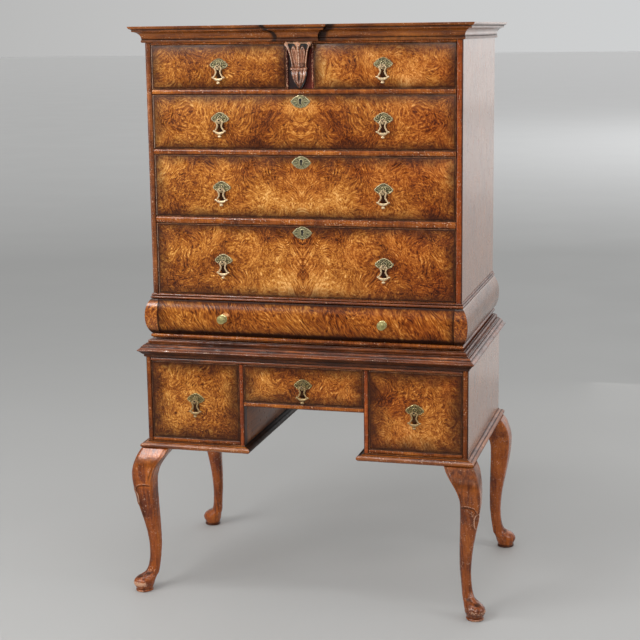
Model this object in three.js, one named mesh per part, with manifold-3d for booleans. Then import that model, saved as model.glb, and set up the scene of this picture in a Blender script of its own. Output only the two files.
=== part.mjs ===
// Highboy: a chest of six drawers on a three-drawer stand with cabriole legs.
// Millimetres, +Z up, the drawers face -Y. While it is modelled, y = 0 is the
// front of the upper case; the whole piece is then moved back by CENTRE_Y, so
// that its origin is the middle of its footprint on the floor.
import * as THREE from 'three';
import { mergeVertices } from 'three/addons/utils/BufferGeometryUtils.js';
import Module from 'manifold-3d';

const wasm = await Module();
wasm.setup();

// ---------------------------------------------------------------- dimensions
const GAP = 0.3;              // space left between touching pieces
const CENTRE_Y = 244.41;      // depth from the upper front to the footprint centre

// upper case
const UW = 780;               // width over the sides
const UD = 500;               // depth of the case
const SIDE_T = 15;            // thickness of a side board
const BACK_T = 10;            // thickness of the back board
const FRONT_IN = 2;           // drawer fronts stand this far behind the beads
const Z_CORNICE_TOP = 1432.6;
const Z_CORNICE_BOT = 1393.7;
const Z_TOP_BOARD = 1414.6;   // underside of the top board
const Z_SHORT = [1282.4, 1387.8];
const Z_LONG = [[1138.2, 1269.0], [972.7, 1123.8], [777.7, 954.5]];
const Z_CUSHION = [676.3, 765.0];
const Z_UPPER_BOT = 664.9;
const CUSHION_BULGE = 17.7;
const PARTITION_W = 67.6;     // face between the two short drawers
const RESSAUT_HALF = 44;      // half width of the cornice break
const RESSAUT_OUT = 12;       // how far the cornice breaks forward

// stand
const SX = 409.4;             // half width of the stand case
const SY0 = -16;              // front of the stand case
const SY1 = 500;              // back of the stand case
const STAND_SIDE_T = 13.2;
const KNEE_X = 152.9;         // half width of the kneehole
const WALL_T = 12.1;          // kneehole wall
const Z_STAND_TOP = 662.0;
const Z_STAND_SLAB = 645.3;
const Z_STAND_CASE = 617.7;
const Z_STAND_DRAWER_TOP = 607.5;
const Z_DEEP_BOT = 411.0;
const Z_CENTRE_BOT = 512.9;
const Z_CENTRE_RAIL = 500.9;
const Z_BASE_TOP = 400.3;
const Z_BASE_BOT = 383.0;
const BASE_OUT = 17;          // base moulding beyond the case

// drawers
const DRAWER_BACK_Y = 478;
const FRONT_T = 20;
const DSIDE_T = 10;
const DBOTTOM_T = 6;

// drop pulls, escutcheons and knobs
const PULL_X = 202;           // pulls of the upper case, left and right
const DEEP_PULL_X = 279.6;    // pulls of the deep stand drawers
const PULL_TOP = 19;          // plate top above the hinge pin
const PIN_OUT = 8.5;          // hinge pin in front of the drawer face
const PULL_Z = { short: 1335.5, long: [1207.5, 1041.0, 861.8], deep: 509.5, centre: 558.5 };
const KEY_Z = [1252.4, 1107.3, 937.8];
const KNOB_X = 201.5, KNOB_Z = 722.3;

// ------------------------------------------------------------------ materials
const mat = (color, roughness, metalness = 0) => new THREE.MeshStandardMaterial({ color, roughness, metalness });
const BURR = mat(0x9a5a22, 0.3);
const FRAME = mat(0x7a3f1c, 0.35);
const MOULDING = mat(0x6a3216, 0.35);
const PANEL = mat(0x6b3a20, 0.25);
const LEG = mat(0x74381b, 0.3);
const INNER = mat(0x9c7448, 0.75);
const BRASS = mat(0x9a8a52, 0.4, 0.9);

// ------------------------------------------------------------------- helpers
function clean(geo) {
  const g = geo.clone();
  g.deleteAttribute('normal');
  g.deleteAttribute('uv');
  return mergeVertices(g, 1e-4);
}
function solid(geo) {
  const g = clean(geo);
  return new wasm.Manifold(new wasm.Mesh({
    numProp: 3,
    vertProperties: new Float32Array(g.attributes.position.array),
    triVerts: new Uint32Array(g.index.array),
  }));
}
function back(m) {
  const r = m.getMesh();
  const g = new THREE.BufferGeometry();
  g.setAttribute('position', new THREE.BufferAttribute(new Float32Array(r.vertProperties), 3));
  g.setIndex(new THREE.BufferAttribute(new Uint32Array(r.triVerts), 1));
  return g;
}
function join(...geos) {
  let m = solid(geos[0]);
  for (const g of geos.slice(1)) m = m.add(solid(g));
  return back(m);
}
function cut(geo, ...holes) {
  let m = solid(geo);
  for (const h of holes) m = m.subtract(solid(h));
  return back(m);
}
function box(x0, x1, y0, y1, z0, z1) {
  return new THREE.BoxGeometry(x1 - x0, y1 - y0, z1 - z0).translate((x0 + x1) / 2, (y0 + y1) / 2, (z0 + z1) / 2);
}
const shapeOf = (pts, holes = []) => {
  const s = new THREE.Shape(pts.map(([a, b]) => new THREE.Vector2(a, b)));
  for (const h of holes) s.holes.push(new THREE.Path(h.map(([a, b]) => new THREE.Vector2(a, b))));
  return s;
};
const flat = (depth) => ({ depth, bevelEnabled: false, curveSegments: 4 });
// outline in (x, z), thickness from y0 to y1
function plateY(pts, y0, y1, holes = []) {
  return new THREE.ExtrudeGeometry(shapeOf(pts, holes), flat(y1 - y0)).rotateX(Math.PI / 2).translate(0, y1, 0);
}
// outline in (y, z), length from x0 to x1
function barX(pts, x0, x1) {
  const g = new THREE.ExtrudeGeometry(shapeOf(pts), flat(x1 - x0));
  g.applyMatrix4(new THREE.Matrix4().set(0, 0, 1, x0, 1, 0, 0, 0, 0, 1, 0, 0, 0, 0, 0, 1));
  return g;
}
// outline in (x, y), height from z0 to z1
function postZ(pts, z0, z1) {
  return new THREE.ExtrudeGeometry(shapeOf(pts), flat(z1 - z0)).translate(0, 0, z0);
}
// a board with a half-round front edge, outline in (depth, thickness)
function roundFront(y0, y1, z0, z1, n = 5) {
  const r = (z1 - z0) / 2, c = (z0 + z1) / 2, pts = [];
  for (let i = 0; i <= n; i++) {
    const a = Math.PI / 2 + (Math.PI * i) / n;
    pts.push([y0 + r * 0.55 + r * 0.55 * Math.cos(a), c + r * Math.sin(a)]);
  }
  return [...pts, [y1, z0], [y1, z1]];
}
const rail = (x0, x1, y0, y1, z0, z1) => barX(roundFront(y0, y1, z0, z1), x0, x1);
const stile = (x0, x1, y0, y1, z0, z1) => postZ(roundFront(y0, y1, x0, x1).map(([a, b]) => [b, a]), z0, z1);

// a moulding of one section carried along a path in plan, mitred at the corners;
// section points are (out from the path, height), and out is to the left of travel
function moulding(path, outline) {
  const section = THREE.ShapeUtils.area(outline.map(([p, z]) => new THREE.Vector2(p, z))) < 0 ? [...outline].reverse() : outline;
  const n = path.length, m = section.length, dirs = [];
  for (let i = 0; i < n - 1; i++) {
    const d = new THREE.Vector2(path[i + 1][0] - path[i][0], path[i + 1][1] - path[i][1]).normalize();
    dirs.push(new THREE.Vector2(d.y, -d.x));
  }
  const pos = [];
  for (let i = 0; i < n; i++) {
    const a = dirs[Math.max(0, i - 1)], b = dirs[Math.min(n - 2, i)];
    const k = 1 + a.dot(b), mx = (a.x + b.x) / k, my = (a.y + b.y) / k;
    for (const [p, z] of section) pos.push(path[i][0] + mx * p, path[i][1] + my * p, z);
  }
  const idx = [];
  for (let i = 0; i < n - 1; i++) for (let j = 0; j < m; j++) {
    const a = i * m + j, b = i * m + (j + 1) % m, c = a + m, d = b + m;
    idx.push(a, b, c, b, d, c);
  }
  const caps = THREE.ShapeUtils.triangulateShape(section.map(([p, z]) => new THREE.Vector2(p, z)), []);
  for (const [a, b, c] of caps) {
    idx.push(c, b, a);
    const o = (n - 1) * m;
    idx.push(o + a, o + b, o + c);
  }
  return outward(pos, idx);
}
function outward(pos, idx) {
  let v = 0;
  const p = (i) => [pos[3 * i], pos[3 * i + 1], pos[3 * i + 2]];
  for (let i = 0; i < idx.length; i += 3) {
    const [a, b, c] = [p(idx[i]), p(idx[i + 1]), p(idx[i + 2])];
    v += a[0] * (b[1] * c[2] - b[2] * c[1]) + a[1] * (b[2] * c[0] - b[0] * c[2]) + a[2] * (b[0] * c[1] - b[1] * c[0]);
  }
  if (v < 0) for (let i = 0; i < idx.length; i += 3) [idx[i], idx[i + 2]] = [idx[i + 2], idx[i]];
  const g = new THREE.BufferGeometry();
  g.setAttribute('position', new THREE.BufferAttribute(new Float32Array(pos), 3));
  g.setIndex(idx);
  return g;
}
// rings of equal point count, each a list of [x, y, z], closed by flat ends
function loft(rings) {
  const m = rings[0].length, n = rings.length, pos = rings.flat(2), idx = [];
  for (let i = 0; i < n - 1; i++) for (let j = 0; j < m; j++) {
    const a = i * m + j, b = i * m + (j + 1) % m, c = a + m, d = b + m;
    idx.push(a, b, c, b, d, c);
  }
  for (let j = 1; j < m - 1; j++) {
    idx.push(0, j + 1, j);
    const o = (n - 1) * m;
    idx.push(o, o + j, o + j + 1);
  }
  return outward(pos, idx);
}
const group = new THREE.Group();
function add(name, geo, material) {
  const g = clean(geo);
  g.computeVertexNormals();
  const mesh = new THREE.Mesh(g, material);
  mesh.name = name;
  group.add(mesh);
}
const flipX = (pts) => pts.map(([a, b]) => [-a, b]);

// ---------------------------------------------------------------- upper case
const ux = UW / 2, ui = ux - SIDE_T;                // outer and inner faces of the sides
const uback = UD - BACK_T - GAP;

for (const [name, s] of [['left', -1], ['right', 1]]) {
  const [a, b] = s < 0 ? [-ux, -ui] : [ui, ux];
  add(`upper_side_${name}`, stile(a, b, 0, UD, Z_CUSHION[0] + GAP, Z_TOP_BOARD - GAP), PANEL);
}
add('upper_back_board', box(-ui + GAP, ui - GAP, UD - BACK_T, UD, Z_CUSHION[0] + GAP, Z_TOP_BOARD - GAP), INNER);

// top board with the thin rail over the short drawers
add('upper_top_board', join(
  box(-ux, ux, 0, UD, Z_TOP_BOARD, Z_CORNICE_TOP),
  box(-ui + GAP, ui - GAP, 0.4, 60, Z_SHORT[1] + 0.9, Z_TOP_BOARD + 1),
), INNER);

// cornice: bead, cove, fillet and ovolo, broken forward over the corbel
const CORNICE = [
  [GAP, 1393.7], [4.8, 1393.7], [7.0, 1395.6], [7.0, 1399.2], [5.7, 1401.0], [5.7, 1402.6], [8.6, 1409.2],
  [13.2, 1415.4], [19.0, 1419.2], [23.8, 1420.0], [23.8, 1425.2], [28.4, 1426.0], [31.4, 1429.4], [31.7, 1432.6], [GAP, 1432.6],
];
const rx = RESSAUT_HALF, ro = RESSAUT_OUT;
add('cornice_moulding', join(
  moulding([[-ux, UD], [-ux, 0], [-rx, 0], [-rx, -ro], [rx, -ro], [rx, 0], [ux, 0], [ux, UD]], CORNICE),
  box(-rx + GAP, rx - GAP, -ro - 1, -GAP, 1393.7, 1432.6),
), MOULDING);

// face between the short drawers, with the board behind it that guides them
const px = PARTITION_W / 2;
add('short_drawer_partition', join(
  box(-px, px, FRONT_IN, 24, Z_SHORT[0] + GAP, Z_SHORT[1] + 0.6),
  box(-8, 8, 23, uback, Z_SHORT[0] + GAP, Z_SHORT[1] + 0.6),
), FRAME);

// carved bracket under the cornice break
const CORBEL = [ // height, half width, front
  [1283.6, 3.0, -4.0], [1290, 9.0, -7.0], [1303, 15.5, -9.0], [1318, 18.5, -9.5], [1325, 19.0, -8.5], [1326, 21.0, -10.5],
  [1332, 21.0, -10.5], [1333, 19.2, -8.0], [1350, 20.0, -9.0], [1366, 22.8, -12.0], [1378, 27.0, -16.0], [1384.5, 30.5, -17.5],
  [1385, 32.8, -18.0], [1388.1, 32.8, -18.0],
];
add('carved_corbel', join(
  loft(CORBEL.map(([z, w, f]) => [[-w, FRONT_IN - GAP, z], [-w, f + 3, z], [-w * 0.6, f, z], [w * 0.6, f, z], [w, f + 3, z], [w, FRONT_IN - GAP, z]])),
  box(-32.8, 32.8, -18, 0.1, 1387.5, 1393.3),
), MOULDING);

// boards between the drawers, each with a half-round front edge
const DIVIDERS = [[Z_LONG[0][1], Z_SHORT[0]], [Z_LONG[1][1], Z_LONG[0][0]], [Z_LONG[2][1], Z_LONG[1][0]]];
DIVIDERS.forEach(([a, b], i) => add(`divider_rail_${i + 1}`, rail(-ui + GAP, ui - GAP, 0, uback, a, b), FRAME));

// divider over the cushion drawer, with the thin moulding that runs round the case
const uPath = [[-ux, UD], [-ux, 0], [ux, 0], [ux, UD]];
add('divider_rail_4', join(
  moulding(uPath, [[GAP, 765.3], [3.2, 765.3], [5.2, 768.4], [5.2, 771.8], [2.6, 775.0], [1.8, 777.4], [GAP, 777.4]]),
  box(-ui + GAP, ui - GAP, -1, uback, 765.3, 777.4),
), MOULDING);

// bottom board with its beaded edge, and the swelling ends and sides of the cushion moulding
function cushion(n, inset = 0) {
  const pts = [], c = (Z_CUSHION[0] + Z_CUSHION[1]) / 2, h = (Z_CUSHION[1] - Z_CUSHION[0]) / 2 - inset;
  for (let i = 0; i <= n; i++) {
    const t = -1 + (2 * i) / n;
    pts.push([3 + (CUSHION_BULGE - 3) * Math.pow(1 - Math.pow(Math.abs(t), 2.3), 0.8), c + h * t]);
  }
  return pts;
}
const cushionSection = [[GAP, Z_CUSHION[0] - 0.5], ...cushion(8).map(([p, z], i) => [p, i === 0 ? z - 0.5 : z]), [GAP, Z_CUSHION[1]]];
add('upper_base_frame', join(
  moulding(uPath, [[-40, Z_UPPER_BOT], [2.6, Z_UPPER_BOT], [2.6, 667.2], [6.4, 669.4], [6.8, 673.2], [4.6, 676.3], [-40, 676.3]]),
  box(-ux + 39, ux - 39, 39, UD, Z_UPPER_BOT, 676.3),
  moulding([[-ux, UD], [-ux, 0], [-ui, 0]], cushionSection),
  moulding([[ui, 0], [ux, 0], [ux, UD]], cushionSection),
), MOULDING);

// --------------------------------------------------------------------- stand
const si = SX - STAND_SIDE_T, sback = SY1 - 12 - GAP, wallOut = KNEE_X + WALL_T;
const sPath = [[-SX, SY1], [-SX, SY0], [SX, SY0], [SX, SY1]];

add('stand_top_moulding', join(
  moulding(sPath, [
    [GAP, Z_STAND_CASE], [1.6, 620.0], [3.4, 624.4], [10.4, 630.2], [16.4, 635.2], [16.4, 637.2], [12.4, 639.6], [5.6, 644.2],
    [1.4, 648.4], [-1.8, 651.4], [-1.8, 652.2], [-6.8, 652.6], [-6.8, 656.2], [-8.0, 659.6], [-12.6, 660.4], [-12.6, 662.0], [-60, 662.0], [-60, Z_STAND_SLAB], [GAP, Z_STAND_SLAB],
  ]),
  box(-SX + 59, SX - 59, SY0 + 59, SY1, Z_STAND_SLAB, Z_STAND_TOP),
), MOULDING);
add('stand_top_rail', barX([[SY0 + 3.4, Z_STAND_DRAWER_TOP + GAP], [SY0 + 0.8, 609.6], [SY0, 612.6], [SY0 + 0.4, 616.0], [SY0 + 0.4, Z_STAND_SLAB - GAP],
  [SY0 + 56, Z_STAND_SLAB - GAP], [SY0 + 56, Z_STAND_DRAWER_TOP + GAP]], -si + GAP, si - GAP), FRAME);
for (const [name, s] of [['left', -1], ['right', 1]]) {
  const [a, b] = s < 0 ? [-SX, -si] : [si, SX];
  add(`stand_side_${name}`, stile(a, b, SY0, SY1, Z_BASE_TOP + GAP, Z_STAND_SLAB - GAP), PANEL);
}
add('stand_back_board', plateY([[-si + GAP, Z_BASE_TOP + GAP], [-KNEE_X, Z_BASE_TOP + GAP], [-KNEE_X, Z_CENTRE_RAIL], [KNEE_X, Z_CENTRE_RAIL],
  [KNEE_X, Z_BASE_TOP + GAP], [si - GAP, Z_BASE_TOP + GAP], [si - GAP, Z_STAND_SLAB - GAP], [-si + GAP, Z_STAND_SLAB - GAP]], SY1 - 12, SY1), INNER);
add('kneehole_frame', join(
  stile(-wallOut, -KNEE_X, SY0, sback, Z_BASE_TOP + GAP, Z_STAND_DRAWER_TOP),
  stile(KNEE_X, wallOut, SY0, sback, Z_BASE_TOP + GAP, Z_STAND_DRAWER_TOP),
  rail(-KNEE_X - 4, KNEE_X + 4, SY0, sback, Z_CENTRE_RAIL, Z_CENTRE_BOT),
), PANEL);
for (const [name, s] of [['left', -1], ['right', 1]]) {
  const path = s < 0 ? [[-SX, SY1], [-SX, SY0], [-KNEE_X, SY0], [-KNEE_X, SY1]] : [[KNEE_X, SY1], [KNEE_X, SY0], [SX, SY0], [SX, SY1]];
  const [a, b] = s < 0 ? [-si, -wallOut] : [wallOut, si];
  add(`pedestal_base_${name}`, join(
    moulding(path, [[-40, Z_BASE_TOP], [0.4, Z_BASE_TOP], [3.5, 398.6], [11.5, 392.6], [BASE_OUT, 387.0], [BASE_OUT, 384.8], [12, Z_BASE_BOT], [-40, Z_BASE_BOT]]),
    box(...(s < 0 ? [-SX + 39, -KNEE_X - 39] : [KNEE_X + 39, SX - 39]), SY0 + 39, SY1, Z_BASE_BOT, Z_BASE_TOP),
    rail(a + GAP, b - GAP, SY0, sback, Z_BASE_TOP - 0.4, Z_DEEP_BOT - GAP),
  ), FRAME);
}

// cabriole legs: height, centre x and y of a front leg, centre y of a back leg,
// half size, stretch along the diagonal, squareness of the section
const LEG_TABLE = [
  [Z_BASE_BOT - GAP, 389.0, 3.0, 464.5, 36.5, 1.00, 6.0], [370, 395.8, -3.5, 472.0, 37.0, 1.00, 5.0], [355, 404.0, -15.0, 478.0, 34.5, 0.97, 4.2],
  [340, 411.0, -22.0, 483.5, 31.0, 1.02, 3.8], [320, 416.8, -25.4, 488.5, 27.2, 1.11, 3.3], [300, 418.8, -24.6, 492.0, 24.2, 1.19, 3.0],
  [270, 417.4, -22.6, 494.5, 22.1, 1.25, 2.7], [240, 414.4, -19.8, 495.2, 20.0, 1.27, 2.6], [210, 410.9, -15.6, 495.8, 18.0, 1.26, 2.6],
  [180, 407.6, -11.3, 495.8, 16.1, 1.23, 2.5], [150, 405.2, -7.4, 495.4, 14.5, 1.20, 2.5], [120, 404.3, -4.8, 495.8, 13.3, 1.20, 2.5],
  [90, 405.9, -4.0, 497.8, 12.3, 1.23, 2.4], [64, 409.4, -4.9, 502.8, 12.3, 1.20, 2.3], [52, 413.2, -8.2, 507.2, 13.4, 1.30, 2.1],
  [43, 418.6, -13.4, 510.4, 16.4, 1.42, 2.0], [33, 427.0, -21.4, 513.2, 21.2, 1.44, 2.0], [22, 431.2, -24.4, 516.0, 22.6, 1.38, 2.0],
  [12, 432.4, -24.7, 518.0, 21.0, 1.18, 2.0], [7, 432.6, -24.4, 518.6, 18.6, 1.04, 2.0], [0, 432.6, -24.2, 518.8, 18.2, 1.02, 2.0],
];
const LEG_SIDES = 14;
function leg(sx, front) {
  const sy = front ? -1 : 1;
  const rings = LEG_TABLE.map(([z, cx, cf, cb, a, k, n]) => {
    const ring = [];
    for (let j = 0; j < LEG_SIDES; j++) {
      const t = (2 * Math.PI * (j + 0.5)) / LEG_SIDES + Math.PI / 4, c = Math.cos(t), s = Math.sin(t);
      const x = a * Math.sign(c) * Math.pow(Math.abs(c), 2 / n), y = a * Math.sign(s) * Math.pow(Math.abs(s), 2 / n);
      const u = ((x + y) * (k - 1)) / 2;
      ring.push([sx * (cx + x + u), (front ? cf : cb) + sy * (y + u), z]);
    }
    return ring;
  });
  return loft(rings);
}
add('leg_front_left', leg(-1, true), LEG);
add('leg_front_right', leg(1, true), LEG);
add('leg_back_left', leg(-1, false), LEG);
add('leg_back_right', leg(1, false), LEG);

// ------------------------------------------------------------------- drawers
// front, sides, back and bottom as one glued box, open at the top
const SLOT = 0.6;             // space beside and over a drawer front
function drawer(x0, x1, z0, z1, face, sideGap = 1.0) {
  const fx0 = x0 + SLOT, fx1 = x1 - SLOT, fz0 = z0 + GAP, fz1 = z1 - SLOT;
  const bx0 = x0 + sideGap, bx1 = x1 - sideGap, bz1 = z1 - 6;
  const front = face.curve
    ? barX([...face.curve.map(([p, z]) => [-p, z]), [face.y + FRONT_T, fz1], [face.y + FRONT_T, fz0]], fx0, fx1)
    : box(fx0, fx1, face.y, face.y + FRONT_T, fz0, fz1);
  const y = face.y + FRONT_T;
  return join(front, cut(box(bx0, bx1, y - 1, DRAWER_BACK_Y, fz0, bz1),
    box(bx0 + DSIDE_T, bx1 - DSIDE_T, y - 3, DRAWER_BACK_Y - DSIDE_T, fz0 + 3 + DBOTTOM_T, bz1 + 5)));
}
const uf = { y: FRONT_IN }, sf = { y: SY0 + FRONT_IN };
add('drawer_top_left', drawer(-ui, -px, ...Z_SHORT, uf), BURR);
add('drawer_top_right', drawer(px, ui, ...Z_SHORT, uf), BURR);
Z_LONG.forEach((z, i) => add(`drawer_long_${i + 1}`, drawer(-ui, ui, ...z, uf), BURR));
const curve = cushion(8, 0.5);
add('drawer_cushion', drawer(-ui, ui, ...Z_CUSHION, { y: FRONT_IN, curve }), BURR);
add('drawer_stand_left', drawer(-si, -wallOut, Z_DEEP_BOT - GAP, Z_STAND_DRAWER_TOP, sf), BURR);
add('drawer_stand_centre', drawer(-KNEE_X, KNEE_X, Z_CENTRE_BOT, Z_STAND_DRAWER_TOP, sf), BURR);
add('drawer_stand_right', drawer(wallOut, si, Z_DEEP_BOT - GAP, Z_STAND_DRAWER_TOP, sf), BURR);

// ------------------------------------------------------------------ hardware
const mirror = (half) => [...half, ...flipX(half).reverse()].filter((p, i, a) => i === 0 || p[0] !== a[i - 1][0] || p[1] !== a[i - 1][1]);
const closeUp = (pts) => (pts[0][0] === pts[pts.length - 1][0] && pts[0][1] === pts[pts.length - 1][1] ? pts.slice(0, -1) : pts);
const PLATE = closeUp(mirror([[0, -9.5], [5.5, -6.0], [11.5, -5.5], [16.5, -1.0], [22.8, 3.4], [17.0, 7.0], [13.2, 12.4], [7.0, 13.6], [5.2, 17.6], [0, PULL_TOP]]));
const DROP = closeUp(mirror([[0, -39.4], [3.4, -37.0], [3.2, -33.4], [9.0, -31.6], [14.6, -27.6], [16.4, -22.8], [10.4, -24.2], [6.4, -22.0], [7.6, -17.0], [6.4, -11.0], [3.2, -6.2], [1.7, -4.4], [1.7, -2.0], [0, -2.0]]));
const DROP_HOLE = [[0, -8.6], [-3.0, -12.4], [-3.4, -16.6], [0, -20.6], [3.4, -16.6], [3.0, -12.4]];
function roundX(r, x0, x1, sides = 8) {
  return new THREE.CylinderGeometry(r, r, x1 - x0, sides).rotateZ(Math.PI / 2).translate((x0 + x1) / 2, 0, 0);
}
function pull(name, x, z, faceY) {
  const y = faceY - PIN_OUT;
  const plate = join(
    plateY(PLATE, PIN_OUT - GAP - 2, PIN_OUT - GAP),
    box(-3.9, -2.1, -2.8, PIN_OUT - 2, -2.8, 2.8), box(2.1, 3.9, -2.8, PIN_OUT - 2, -2.8, 2.8), roundX(1.1, -3, 3),
  ).translate(x, y, z);
  const drop = cut(join(plateY(DROP, -2, 2, [DROP_HOLE]), roundX(3.2, -1.7, 1.7)), roundX(1.6, -3, 3)).translate(x, y, z);
  add(`pull_plate_${name}`, plate, BRASS);
  add(`pull_drop_${name}`, drop, BRASS);
}
for (const [s, n] of [[-1, 'left'], [1, 'right']]) {
  pull(`top_${n}`, s * PULL_X, PULL_Z.short, FRONT_IN);
  PULL_Z.long.forEach((z, i) => pull(`long_${i + 1}_${n}`, s * PULL_X, z, FRONT_IN));
  pull(`stand_${n}`, s * DEEP_PULL_X, PULL_Z.deep, SY0 + FRONT_IN);
}
pull('stand_centre', 0, PULL_Z.centre, SY0 + FRONT_IN);

// pointed oval key plates with a keyhole
const KEY_PLATE = closeUp(mirror([[0, -15.5], [7, -13.6], [15, -9.4], [24, 0], [15, 9.4], [7, 13.6], [0, 15.5]]));
const KEYHOLE = [[0, 5.0], [-1.8, 3.2], [-1.1, 0.4], [-1.5, -5.0], [1.5, -5.0], [1.1, 0.4], [1.8, 3.2]];
KEY_Z.forEach((z, i) => add(`key_plate_${i + 1}`, plateY(KEY_PLATE, FRONT_IN - GAP - 1.6, FRONT_IN - GAP, [KEYHOLE]).translate(0, 0, z), BRASS));

// turned knobs on the cushion drawer
const KNOB = [[0, 0], [11.7, 0], [11.7, 1.8], [5.4, 3.2], [4.6, 7.0], [8.4, 9.4], [10.4, 13.0], [8.8, 17.0], [4.0, 19.4], [0, 19.8]];
for (const [s, n] of [[-1, 'left'], [1, 'right']]) {
  const g = new THREE.LatheGeometry(KNOB.map(([r, h]) => new THREE.Vector2(r, h)), 12);
  g.rotateX(Math.PI).translate(s * KNOB_X, -CUSHION_BULGE - GAP, KNOB_Z);
  add(`knob_${n}`, g, BRASS);
}

group.children.forEach((m) => { m.position.y = -CENTRE_Y; });
export default group;
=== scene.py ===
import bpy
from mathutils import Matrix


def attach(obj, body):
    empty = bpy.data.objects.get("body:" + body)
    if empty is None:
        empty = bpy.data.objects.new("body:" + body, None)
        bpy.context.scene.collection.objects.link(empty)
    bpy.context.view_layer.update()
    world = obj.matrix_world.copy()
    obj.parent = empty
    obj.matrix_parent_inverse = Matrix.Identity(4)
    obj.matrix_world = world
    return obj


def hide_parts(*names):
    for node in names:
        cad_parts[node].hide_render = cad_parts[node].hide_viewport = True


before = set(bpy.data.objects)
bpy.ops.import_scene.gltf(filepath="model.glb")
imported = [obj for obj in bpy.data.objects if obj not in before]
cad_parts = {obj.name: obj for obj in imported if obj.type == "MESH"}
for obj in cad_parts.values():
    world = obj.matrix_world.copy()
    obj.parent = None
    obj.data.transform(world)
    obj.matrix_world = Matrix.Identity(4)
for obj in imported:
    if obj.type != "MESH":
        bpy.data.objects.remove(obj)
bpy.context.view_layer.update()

import math

import bmesh
import bpy
import numpy as np
from mathutils import Matrix, Vector

# Lengths are in millimetres while a piece is made, with y = 0 at the front of the upper
# case; place() turns them into metres in the shared frame.
CY = 244.41
UW, UD, SIDE_T = 780.0, 500.0, 15.0
UX, UI = UW / 2, UW / 2 - SIDE_T
UBACK = 489.7
SX, SY0, SY1, STAND_T = 409.4, -16.0, 500.0, 13.2
SI = SX - STAND_T
KNEE, WALL = 152.9, 12.1
WALLO = KNEE + WALL
SBACK = 487.7
PX = 33.8
SHORT = (1282.4, 1387.8)
LONG = ((1138.2, 1269.0), (972.7, 1123.8), (777.7, 954.5))
CUSH = (676.3, 765.0)
FACE_U, FACE_S = 2.0, -14.0


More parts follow.
